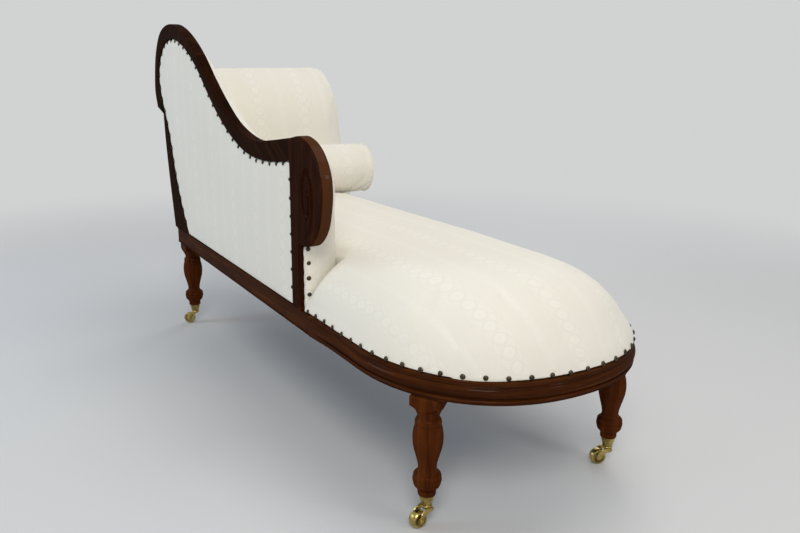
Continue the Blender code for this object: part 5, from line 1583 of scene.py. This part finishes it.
def makeHead():
    outline, faceCount = headOutline()
    shares = [1.0 if i < faceCount - 1 else 0.0 for i in range(len(outline))]
    levels = []
    flatEnd = head["farY"] - head["roundDepth"]
    for i in range(head["stations"] + 1):
        levels.append((head["nearY"] + (flatEnd - head["nearY"]) * i / head["stations"], 0.0))
    for i in range(1, head["roundSteps"] + 1):
        angle = math.pi / 2 * i / head["roundSteps"]
        levels.append((flatEnd + head["roundDepth"] * math.sin(angle), head["round"] * (1 - math.cos(angle))))
    rows = []
    for y, distance in levels:
        ring = inset(outline, [share * distance for share in shares])
        rows.append([Vector((p.x, y, p.y)) for p in ring])
    pad = loft("headCover", rows, ivoryDamask, wrap=True, layer="cloth", corner=55.0)
    back = headBackRun(head["frameDepth"])[::-1]

    def held(p):
        face = p[:, 0] > np.interp(p[:, 2], [q.y for q in back], [q.x for q in back]) + 0.004
        roll = p[:, 2] > back[-1].y + 0.01
        return ~(face | roll) | (p[:, 2] < railTop + 0.03) | (p[:, 1] > head["farY"] - 0.003)
    swell(pad, held, head["pressure"], head["mostSwell"])

    # Drawn in beside the inside back
    def crease(p, n):
        near = 1 - ease((p[:, 1] - padFaceY) / head["creaseReach"])
        return p - n * (near * head["crease"])[:, None]
    reshape(pad, crease)
    line = np.array([tuple(p) for p in evenRun(headFaceRun(), 0.004)])
    lengths = np.concatenate([[0], np.cumsum(np.hypot(*np.diff(line, axis=0).T))])
    chunk = 4000

    # The cloth runs up the face and over the roll
    def cloth(p, n):
        v = np.zeros(len(p))
        for start in range(0, len(p), chunk):
            part = p[start: start + chunk][:, [0, 2]]
            away = ((part[:, None, :] - line[None]) ** 2).sum(2)
            v[start: start + chunk] = lengths[away.argmin(1)]
        return p[:, 1] + 0.062, v
    layOut(pad, "cloth", cloth)
    smoother(pad)
    onBody(pad, "frame", "ivory_damask", "head_pad")
    makeFacing()
    makeTuck()
    makeHeadBack()


facing = {
    "thick": 0.010, "round": 0.016, "roundDepth": 0.006, "crown": 0.0015, "tuck": 0.0062, "tuckHigh": 0.05,
    "welt": 0.0034, "nailIn": 0.010, "nailPitch": 0.036,
}


# The cover of the head's open end, with a welt along its edge
def makeFacing():
    inner = lifted(smoothRun([onHead(share) for share in facingShares], 6), seatBase)
    front = evenRun(inner, 0.008)
    outline = front + evenRun(headBackRun(0.003)[1:], 0.010)
    startY = head["farY"] + chaise["gap"]
    topY = startY + facing["thick"]

    def height(places):
        away = edgeDistance(places, outline)
        near = np.clip(1 - away / facing["round"], 0, 1)
        spread = facing["tuck"] * (1 - ease((places[:, 1] - railTop - 0.006) / facing["tuckHigh"]))
        rim = facing["roundDepth"] * (1 - np.sqrt(np.clip(1 - near ** 2, 0, 1)))
        rim = np.where(places[:, 1] < railTop + 0.004, 0.0, rim)
        return topY + spread - rim + facing["crown"] * ease(away / 0.04)
    panel = padOnPlane("facingCover", outline, startY, height, 0.010, (0.0012, 0.0035, 0.007))
    layOut(panel, "cloth", lambda p, n: (p[:, 0], p[:, 2]))
    smoother(panel)
    onBody(panel, "frame", "ivory_damask", "head_end_facing")
    path = [Vector((p.x, startY + 0.0045, p.y)) for p in evenRun(shifted(inner, 0.0008), 0.006)]
    welt = weltAlong("facingWelt", path, facing["welt"])
    onBody(welt, "frame", "ivory_damask")
    inward = inset(outline, [facing["nailIn"]] * len(outline))
    spots = evenRun(inward[:len(front)], facing["nailPitch"])
    spots += evenRun(inward[len(front) + 1: -1], facing["nailPitch"])[1:]
    places = [Vector((p.x, topY - 0.0016, p.y)) for p in spots if p.y > railTop + 0.008]
    nailRow("facingNails", places, [Vector((0, 1, 0))] * len(places))


tuckFold = {
    "startX": headEndX + 0.078, "length": 0.072, "middleY": sideY - 0.0300, "radius": 0.0118, "steps": 18,
    "sides": 20, "ripple": 0.0012,
}


# The fold of cover pushed down between the seat, the head pad and the facing
def makeTuck():
    rows = []
    for i in range(tuckFold["steps"] + 1):
        t = i / tuckFold["steps"]
        x = tuckFold["startX"] + tuckFold["length"] * t
        r = tuckFold["radius"] * (0.25 + 0.75 * math.sin(math.pi * t) ** 0.5)
        row = []
        for j in range(tuckFold["sides"]):
            angle = math.tau * j / tuckFold["sides"]
            lift = tuckFold["ripple"] * math.sin(angle * 3 + t * 9)
            rise = max(0.0, r * 0.55 + (r * 0.8 + lift) * math.sin(angle))
            row.append(Vector((x, tuckFold["middleY"] + r * math.cos(angle), seatBase + rise)))
        rows.append(row)
    fold = loft("tuckFold", rows, ivoryDamask, wrap=True, layer="cloth", corner=60.0)
    onBody(fold, "frame", "ivory_damask")


headBack = {
    "thick": 0.011, "step": 0.010, "wide": 40, "crown": 0.0030, "rim": 0.0035, "nailIn": 0.009,
    "nailsAcross": 13,
}


# The outside of the head: a taut cover on the raked panel, nailed down both sides and along the top and
# foot
def makeHeadBack():
    line, inside = (evenRun(headBackRun(depth), headBack["step"]) for depth in (0.0, headBack["thick"]))
    nearY, farY = head["nearY"], head["farY"]
    wide, count = headBack["wide"], min(len(line), len(inside))
    rows = []
    for j in range(wide + 1):
        share = j / wide
        y = nearY + (farY - nearY) * share
        rim = headBack["rim"] * (1 - min(1.0, min(share, 1 - share) * wide / 1.5))
        row = []
        for i in range(count):
            t = i / (count - 1)
            crown = headBack["crown"] * math.sin(math.pi * share) ** 0.5 * math.sin(math.pi * t) ** 0.5
            row.append(Vector((line[i].x - crown + rim, y, line[i].y)))
        rows.append(row + [Vector((p.x, y, p.y)) for p in inside[:count][::-1]])
    cover = loft("headBackCover", rows, ivoryDamask, wrap=True, layer="cloth", corner=50.0)
    layOut(cover, "cloth", lambda p, n: (p[:, 1], p[:, 2]))
    onBody(cover, "frame", "ivory_damask", "outside_head_panel")
    places = []
    for p in evenRun(line[1:-1], chaise["nailPitch"]):
        for y in (nearY + headBack["nailIn"], farY - headBack["nailIn"]):
            places.append(Vector((p.x, y, p.y)))
    for i in range(1, headBack["nailsAcross"]):
        y = nearY + (farY - nearY) * i / headBack["nailsAcross"]
        for p in (line[1], line[-2]):
            places.append(Vector((p.x - 0.0014, y, p.y)))
    nailRow("headBackNails", places, [Vector((-1, 0, -0.12))] * len(places))


makeHead()
print("head made")


# Outside back

outsideBack = {
    "recess": 0.004, "thick": 0.008, "crown": 0.0030, "crownReach": 0.09, "round": 0.006,
    "roundDepth": 0.0030, "scallop": 0.0030, "spacing": 0.012, "nailIn": 0.0060, "nailPitch": 0.044,
    "nailRadius": 0.0048, "dent": 0.0012, "dentReach": 0.007, "pressure": 1.2, "mostSwell": 0.0020,
    "steps": 12,
}


# The nail's place at a distance along one side of the panel
def nailSpot(side, goal):
    walked = 0.0
    for a, b in zip(side, side[1:]):
        span = (b - a).length
        if walked + span >= goal - 1e-9:
            p = a.lerp(b, (goal - walked) / max(span, 1e-9))
            along = (b - a).normalized()
            return p + Vector((-along.y, along.x)) * outsideBack["nailIn"]
        walked += span


# The panel's outline, drawn in between its nails, and their places; there are none beside the post
def outsideBackOutline():
    gap = chaise["gap"]
    run = [Vector((min(x, postX - gap), max(z, seatBase))) for x, z in shifted(frameInnerRun(), gap)]
    corner = Vector((postX - gap, seatBase))
    sides = [evenRun(run, 0.0035), evenRun([run[-1], corner], 0.006), evenRun([corner, run[0]], 0.0035)]
    outline, spots = [], []
    scallops = (outsideBack["scallop"], 0.0, outsideBack["scallop"])
    for side, scallop, extra in zip(sides, scallops, (0, None, 1)):
        length = sum((b - a).length for a, b in zip(side, side[1:]))
        count = max(1, round(length / outsideBack["nailPitch"]))
        at = 0.0
        for p, after in zip(side, side[1:]):
            along = (after - p).normalized()
            wave = abs(math.cos(math.pi * at / length * count)) ** 3
            outline.append(p + Vector((-along.y, along.x)) * (scallop * wave + 0.0002))
            at += (after - p).length
        if extra is not None:
            spots += [nailSpot(side, length * i / count) for i in range(count + extra)]
    return outline, spots


def makeOutsideBack():
    outline, spots = outsideBackOutline()
    faceY = -sideY + outsideBack["recess"]
    backY = faceY + outsideBack["thick"]

    def height(places):
        away = edgeDistance(places, outline)
        near = np.clip(1 - away / outsideBack["round"], 0, 1)
        rim = outsideBack["roundDepth"] * (1 - np.sqrt(np.clip(1 - near ** 2, 0, 1)))
        return faceY + rim - outsideBack["crown"] * ease(away / outsideBack["crownReach"])
    rings = (0.0012, 0.0035, 0.008)
    cover = padOnPlane("outsideBackCover", outline, backY, height, outsideBack["spacing"], rings)

    def held(p):
        return (p[:, 1] > faceY + 0.0010) | (edgeDistance(p[:, [0, 2]], outline) < 0.008)
    swell(cover, held, outsideBack["pressure"], outsideBack["mostSwell"], steps=outsideBack["steps"])

    # Pressed in round every nail
    def dents(p, n):
        p = p.copy()
        front = p[:, 1] < faceY + 0.002
        nearest = np.full(len(p), farOff)
        for spot in spots:
            nearest = np.minimum(nearest, np.hypot(p[:, 0] - spot.x, p[:, 2] - spot.y))
        dent = outsideBack["dent"] * np.exp(-(nearest / outsideBack["dentReach"]) ** 2)
        p[:, 1] += np.where(front, dent, 0.0)
        return p
    reshape(cover, dents)
    layOut(cover, "cloth", lambda p, n: (p[:, 0] + 0.02, p[:, 2]))
    onBody(cover, "frame", "ivory_damask", "outside_back_panel")
    places = [Vector((p.x, faceY + 0.0006, p.y)) for p in spots if p.y > seatBase + 0.006]
    nailRow("outsideBackNails", places, [Vector((0, -1, 0))] * len(places), radius=outsideBack["nailRadius"])


makeOutsideBack()
print("outside back made")


# Bolster

def bolsterRoll(seamY):
    b = bolster
    rows = []
    for i in range(b["stations"] + 1):
        t = -1 + 2 * i / b["stations"]
        y = seamY * math.sin(t * 1.41) / math.sin(1.41)
        radius = (b["radius"] - b["setIn"]) * (1.0 - 0.030 * (abs(y) / seamY) ** 8)
        row = []
        for j in range(b["sides"]):
            angle = math.tau * j / b["sides"] - math.pi / 2
            x, z = radius * math.cos(angle), radius * math.sin(angle)
            row.append(Vector((bolsterX + x, bolsterY + y, bolsterZ + z)))
        rows.append(row)
    roll = loft("bolsterCover", rows, ivoryDamask, wrap=True, layer="cloth", corner=70.0)

    def held(p):
        return (np.abs(p[:, 1] - bolsterY) > seamY - 0.004) | (p[:, 2] < bolsterZ - b["radius"] * 0.93)
    swell(roll, held, b["pressure"], b["mostSwell"], slack=b["slack"])

    # Gathers that fade out from both seams
    def wrinkle(p, n):
        angle = np.arctan2(p[:, 2] - bolsterZ, p[:, 0] - bolsterX)
        fromSeam = seamY - np.abs(p[:, 1] - bolsterY)
        wave = np.cos(angle * b["folds"] + np.sign(p[:, 1] - bolsterY)) + 0.5 * np.cos(angle * 47 + 1.3)
        return p + n * (0.0011 * wave * np.exp(-fromSeam / 0.014) * (fromSeam > 0.002))[:, None]
    reshape(roll, wrinkle)

    def cloth(p, n):
        angle = np.arctan2(p[:, 0] - bolsterX, -(p[:, 2] - bolsterZ))
        return p[:, 1] + 0.03, angle * b["radius"]
    layOut(roll, "cloth", cloth)
    smoother(roll)
    return roll


# The gathered end on one side (-1 or 1): a disc with folds, a welt round it and a button in its middle
def bolsterEnd(side, seamY):
    b = bolster
    rings, around = b["endRings"], b["folds"] * 6
    edgeRadius = (b["radius"] - b["setIn"]) * b["seamShare"]
    rows = []
    for i in range(rings + 1):
        share = i / rings
        radius = edgeRadius * max(share, 0.012)
        deep = (1 - share) ** 1.2 * ease(share / 0.16)
        crown = b["crown"] * b["crownShare"] * (1 - share ** 2.2) - 0.0065 * math.exp(-(share / 0.16) ** 2)
        row = []
        for j in range(around):
            angle = math.tau * j / around
            fold = b["foldDeep"] * math.cos(angle * b["folds"] + 0.35 * math.sin(angle * 3)) * deep
            fold += 0.0016 * math.cos(angle * 11 + 0.7) * deep + 0.0012 * math.cos(angle * 5 + 2.0) * share
            y = bolsterY + side * (seamY - 0.0008 + crown + fold)
            row.append(Vector((bolsterX + radius * math.cos(angle), y, bolsterZ + radius * math.sin(angle))))
        rows.append(row)
    disc = loft("bolsterEnd", rows, ivoryDamask, wrap=True, layer="cloth", corner=70.0)

    def fan(p, n):
        angle = np.arctan2(p[:, 2] - bolsterZ, p[:, 0] - bolsterX)
        return angle * 0.06, np.hypot(p[:, 0] - bolsterX, p[:, 2] - bolsterZ)
    layOut(disc, "cloth", fan)
    reach, y = edgeRadius + 0.0008, bolsterY + side * seamY
    angles = [math.tau * k / 96 for k in range(96)]
    ring = [Vector((bolsterX + reach * math.cos(a), y, bolsterZ + reach * math.sin(a))) for a in angles]
    welt = weltAlong("bolsterWelt", ring, b["welt"] * b["weltShare"], closed=True)
    profile = [
        (0.0, 0.0045), (0.004, 0.0043), (0.0075, 0.0032), (0.0102, 0.0012), (b["button"], -0.0008),
        (0.0100, -0.003), (0.006, -0.004),
    ]
    button = turned("bolsterButton", profile, 32, ivoryDamask, layer="cloth")
    turn = Vector((0, side, 0)).to_track_quat("Z", "Y").to_matrix().to_4x4()
    buttonY = bolsterY + side * (seamY + b["crown"] * b["crownShare"] - b["buttonIn"])
    button.data.transform(Matrix.Translation((bolsterX, buttonY, bolsterZ)) @ turn)
    return [disc, welt, button]


def makeBolster():
    seamY = (bolsterHigh.y - bolsterLow.y) / 2 - bolster["crown"] * 0.55
    roll = bolsterRoll(seamY)
    ends = joined("bolsterEnds", bolsterEnd(-1, seamY) + bolsterEnd(1, seamY))
    onBody(roll, "bolster", "ivory_damask", "bolster")
    onBody(ends, "bolster", "ivory_damask", "bolster")


makeBolster()
print("bolster made")


# Inside the frame and under it

under = {
    "sag": 0.004, "sagReach": 0.20, "spacing": 0.03, "thinner": 0.8, "tackIn": 0.012, "tackPitch": 0.055,
    "legClear": 0.055, "tackRadius": 0.0034, "tackRise": 0.0012,
}


# The closed loops along the free edges of some faces, as flat points
def openLoops(faces):
    count = {}
    for face in faces:
        verts = list(face.verts)
        for a, b in zip(verts, verts[1:] + verts[:1]):
            key = frozenset((a.index, b.index))
            count.setdefault(key, []).append((a, b))
    after = {}
    for pairs in count.values():
        if len(pairs) == 1:
            after[pairs[0][0]] = pairs[0][1]
    loops = []
    while after:
        start = next(iter(sorted(after, key=lambda v: v.index)))
        loop, at = [start], after.pop(start)
        while at is not start:
            loop.append(at)
            at = after.pop(at)
        loops.append([Vector((v.co.x, v.co.y)) for v in loop])
    return loops


def loopArea(loop):
    return abs(sum(a.x * b.y - b.x * a.y for a, b in zip(loop, loop[1:] + loop[:1])))


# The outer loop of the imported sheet's top, then its holes
def sheetLoops(node):
    source = bmesh.new()
    source.from_mesh(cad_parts[node].data)
    bmesh.ops.remove_doubles(source, verts=source.verts, dist=0.00002)
    loops = openLoops([f for f in source.faces if f.normal.z > 0.9])
    source.free()
    loops.sort(key=lambda loop: -loopArea(loop))
    return loops[0], loops[1:]


# A thin cloth on the frame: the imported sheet's outline, filled closely and let down in the middle
def clothSheet(name, node, slotName, finish, sag):
    low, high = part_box(node)
    outer, holes = sheetLoops(node)
    points, edges = [], []
    for loop, pitch in [(outer, 0.016)] + [(hole, 0.012) for hole in holes]:
        start = len(points)
        dense = evenRun(loop + [loop[0]], pitch)[:-1]
        points += dense
        edges += [(start + i, start + (i + 1) % len(dense)) for i in range(len(dense))]
    spacing = under["spacing"]
    xs = np.arange(low.x, high.x, spacing)
    ys = np.arange(low.y, high.y, spacing)
    grid = np.array([(x, y) for x in xs for y in ys])
    keep = insideOutline(grid, outer) & (edgeDistance(grid, outer) > spacing * 0.4)
    for hole in holes:
        keep &= ~insideOutline(grid, hole) & (edgeDistance(grid, hole) > spacing * 0.4)
    points += [Vector(p) for p in grid[keep]]
    made = delaunay_2d_cdt(points, edges, [], 1, 1e-7)
    flat = np.array([tuple(p) for p in made[0]])
    faces = [tuple(f) for f in made[2]]
    middle = np.array([tuple(np.mean(flat[list(f)], axis=0)) for f in faces])
    good = insideOutline(middle, outer)
    for hole in holes:
        good &= ~insideOutline(middle, hole)
    faces = [f for f, g in zip(faces, good) if g]
    drop = sag * ease(edgeDistance(flat, outer) / under["sagReach"])
    points = [Vector((x, y, high.z - d)) for (x, y), d in zip(flat, drop)]
    sheet = makePiece(name, points, faces, finish, 60.0)
    shape = bmesh.new()
    shape.from_mesh(sheet.data)
    loose = [v for v in shape.verts if not v.link_faces]
    bmesh.ops.delete(shape, geom=loose, context="VERTS")
    shape.to_mesh(sheet.data)
    shape.free()
    if sheet.data.polygons[0].normal.z < 0:
        sheet.data.flip_normals()
    layOut(sheet, "cloth", lambda p, n: (p[:, 0], p[:, 1]))
    area = sum(p.area for p in sheet.data.polygons)
    thicker = sheet.modifiers.new("thick", "SOLIDIFY")
    thicker.thickness = (high.z - low.z) * under["thinner"]
    thicker.offset = -1.0
    onBody(sheet, "frame", slotName, node)
    return sheet, area, (high.x - low.x, high.y - low.y), outer


# Tacks along the bottoming cloth's edge, with none at the legs
def makeTacks(outer):
    low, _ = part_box("bottoming_cloth")
    line = inset(outer, [under["tackIn"]] * len(outer))
    spots = evenRun(line + [line[0]], under["tackPitch"])[:-1]
    nearLeg = [min(math.hypot(p.x - x, p.y - y) for _, x, y, _ in legPlaces()) for p in spots]
    places = [Vector((p.x, p.y, low.z + 0.0004)) for p, d in zip(spots, nearLeg) if d > under["legClear"]]
    nailRow("bottomTacks", places, [Vector((0, 0, -1))] * len(places), under["tackRadius"], under["tackRise"])


def makeUnderside():
    for name, node, slotName, finish, sag in (
        ("hessianDeck", "hessian_deck", "hessian", hessian, 0.0),
        ("bottomCloth", "bottoming_cloth", "bottoming_cloth", blackCloth, under["sag"]),
    ):
        sheet, area, size, outer = clothSheet(name, node, slotName, finish, sag)
    makeTacks(outer)
    for i in range(1, 7):
        finishNode(f"seat_spring_{i}", springSteel)
    for name in ("seat_frame_back", "seat_frame_front", "seat_frame_foot"):
        finishNode(name, beechLong)
    for name in ("corner_block_back", "corner_block_front"):
        finishNode(name, beechLong)
    for name in ("seat_frame_head", "stretcher_1", "stretcher_2", "head_top_bar"):
        finishNode(name, beechCross)
    for name in ("head_upright_back", "head_upright_front"):
        finishNode(name, beechUpright)


makeUnderside()
print("underside made")


# Studio

# lights: name, place, aim, size in metres, watts, colour
studio = {
    "camera": (1.997, -1.074, 0.964), "yaw": 2.6002, "pitch": 0.2679, "roll": -0.0116, "lens": 36.2,
    "floor": (0.640, 0.640, 0.636), "paper": (0.640, 0.643, 0.645), "sky": 0.42, "fadeFrom": 1.5,
    "fadeTo": 3.6,
    "lights": (
        ("keyLight", (2.9, -1.7, 2.9), (0.2, 0.0, 0.4), 1.5, 62.0, (1.0, 0.975, 0.93)),
        ("topLight", (0.3, 0.7, 3.4), (0.1, 0.0, 0.4), 2.4, 33.0, (1.0, 0.985, 0.955)),
        ("sideLight", (-1.6, -3.4, 1.7), (-0.3, 0.0, 0.6), 1.8, 40.0, (0.66, 0.82, 1.0)),
        ("rimLight", (2.55, 1.0, 1.9), (0.4, -0.32, 0.75), 0.45, 5.0, (1.0, 0.99, 0.97)),
        ("farLight", (-2.2, 2.6, 2.2), (-0.2, 0.0, 0.5), 2.0, 20.0, (0.97, 0.98, 1.0)),
    ),
}


# 1 for rays that show the paper itself: straight from the camera, mirrored, or seen through something
def sightRays(tree):
    rays = place(tree, "ShaderNodeLightPath").outputs
    mirrored = reckon(tree, "MAXIMUM", rays["Is Glossy Ray"], rays["Is Transmission Ray"])
    return reckon(tree, "MAXIMUM", rays["Is Camera Ray"], mirrored)


def paper(tree):
    return place(tree, "ShaderNodeEmission", {"Color": (*studio["paper"], 1.0), "Strength": 1.0})


# The floor fades into the paper's own light with distance, so that no edge shows
def floorFinish():
    finish, tree, shader = newFinish("paleFloor")
    where = place(tree, "ShaderNodeTexCoord").outputs["Object"]
    grain = noise(tree, where, 1.3, 3.0)
    darker = tuple(c * 0.93 for c in studio["floor"])
    soft = mixed(tree, reckon(tree, "MULTIPLY", grain, 0.25), studio["floor"], darker)
    tree.links.new(soft, shader.inputs["Base Color"])
    tree.links.new(reckon(tree, "MULTIPLY_ADD", grain, 0.1, 0.75), shader.inputs["Roughness"])
    far = place(tree, "ShaderNodeVectorMath", {0: where}, operation="LENGTH").outputs["Value"]
    share = reckon(tree, "MULTIPLY", sightRays(tree), fade(tree, far, studio["fadeFrom"], studio["fadeTo"]))
    out = next(n for n in tree.nodes if n.type == "OUTPUT_MATERIAL")
    blend = place(tree, "ShaderNodeMixShader", {0: share, 1: shader.outputs[0], 2: paper(tree).outputs[0]})
    tree.links.new(blend.outputs[0], out.inputs["Surface"])
    return finish


def makeFloor():
    rows = [circle(radius, 0.0, 96) for radius in (0.0001, 1.5, 4.0, 9.0, 30.0)]
    floor = loft("studioFloor", rows, floorFinish(), wrap=True, caps=False, layer="floor")
    if floor.data.polygons[0].normal.z < 0:
        floor.data.flip_normals()


def makeLights():
    for name, at, aim, size, power, colour in studio["lights"]:
        lamp = bpy.data.lights.new(name, "AREA")
        lamp.shape, lamp.size, lamp.energy, lamp.color = "DISK", size, power, colour
        made = bpy.data.objects.new(name, lamp)
        made.location = at
        made.rotation_euler = (Vector(aim) - Vector(at)).to_track_quat("-Z", "Y").to_euler()
        bpy.context.scene.collection.objects.link(made)


def makeWorld():
    world = bpy.data.worlds.new("studioAir")
    bpy.context.scene.world = world
    world.use_nodes = True
    tree = world.node_tree
    tree.nodes.clear()
    out = place(tree, "ShaderNodeOutputWorld")
    air = place(tree, "ShaderNodeBackground", {"Color": (0.93, 0.95, 1.0, 1.0), "Strength": studio["sky"]})
    seen = place(tree, "ShaderNodeBackground", {"Color": (*studio["paper"], 1.0), "Strength": 1.0})
    shaders = {0: sightRays(tree), 1: air.outputs[0], 2: seen.outputs[0]}
    mix = place(tree, "ShaderNodeMixShader", shaders)
    tree.links.new(mix.outputs[0], out.inputs[0])


def makeCamera():
    yaw, pitch, roll = studio["yaw"], studio["pitch"], studio["roll"]
    ahead = Vector((math.cos(pitch) * math.cos(yaw), math.cos(pitch) * math.sin(yaw), -math.sin(pitch)))
    right = ahead.cross(Vector((0, 0, 1))).normalized()
    down = ahead.cross(right)
    rightNow = right * math.cos(roll) + down * math.sin(roll)
    downNow = -right * math.sin(roll) + down * math.cos(roll)
    data = bpy.data.cameras.new("photoCamera")
    data.lens, data.sensor_width = studio["lens"], 36.0
    camera = bpy.data.objects.new("photoCamera", data)
    bpy.context.scene.collection.objects.link(camera)
    turn = Matrix((rightNow, -downNow, -ahead)).transposed().to_4x4()
    camera.matrix_world = Matrix.Translation(studio["camera"]) @ turn
    bpy.context.scene.camera = camera
    bpy.context.scene.view_settings.view_transform = "Standard"


makeFloor()
makeLights()
makeWorld()
makeCamera()
print("studio made")
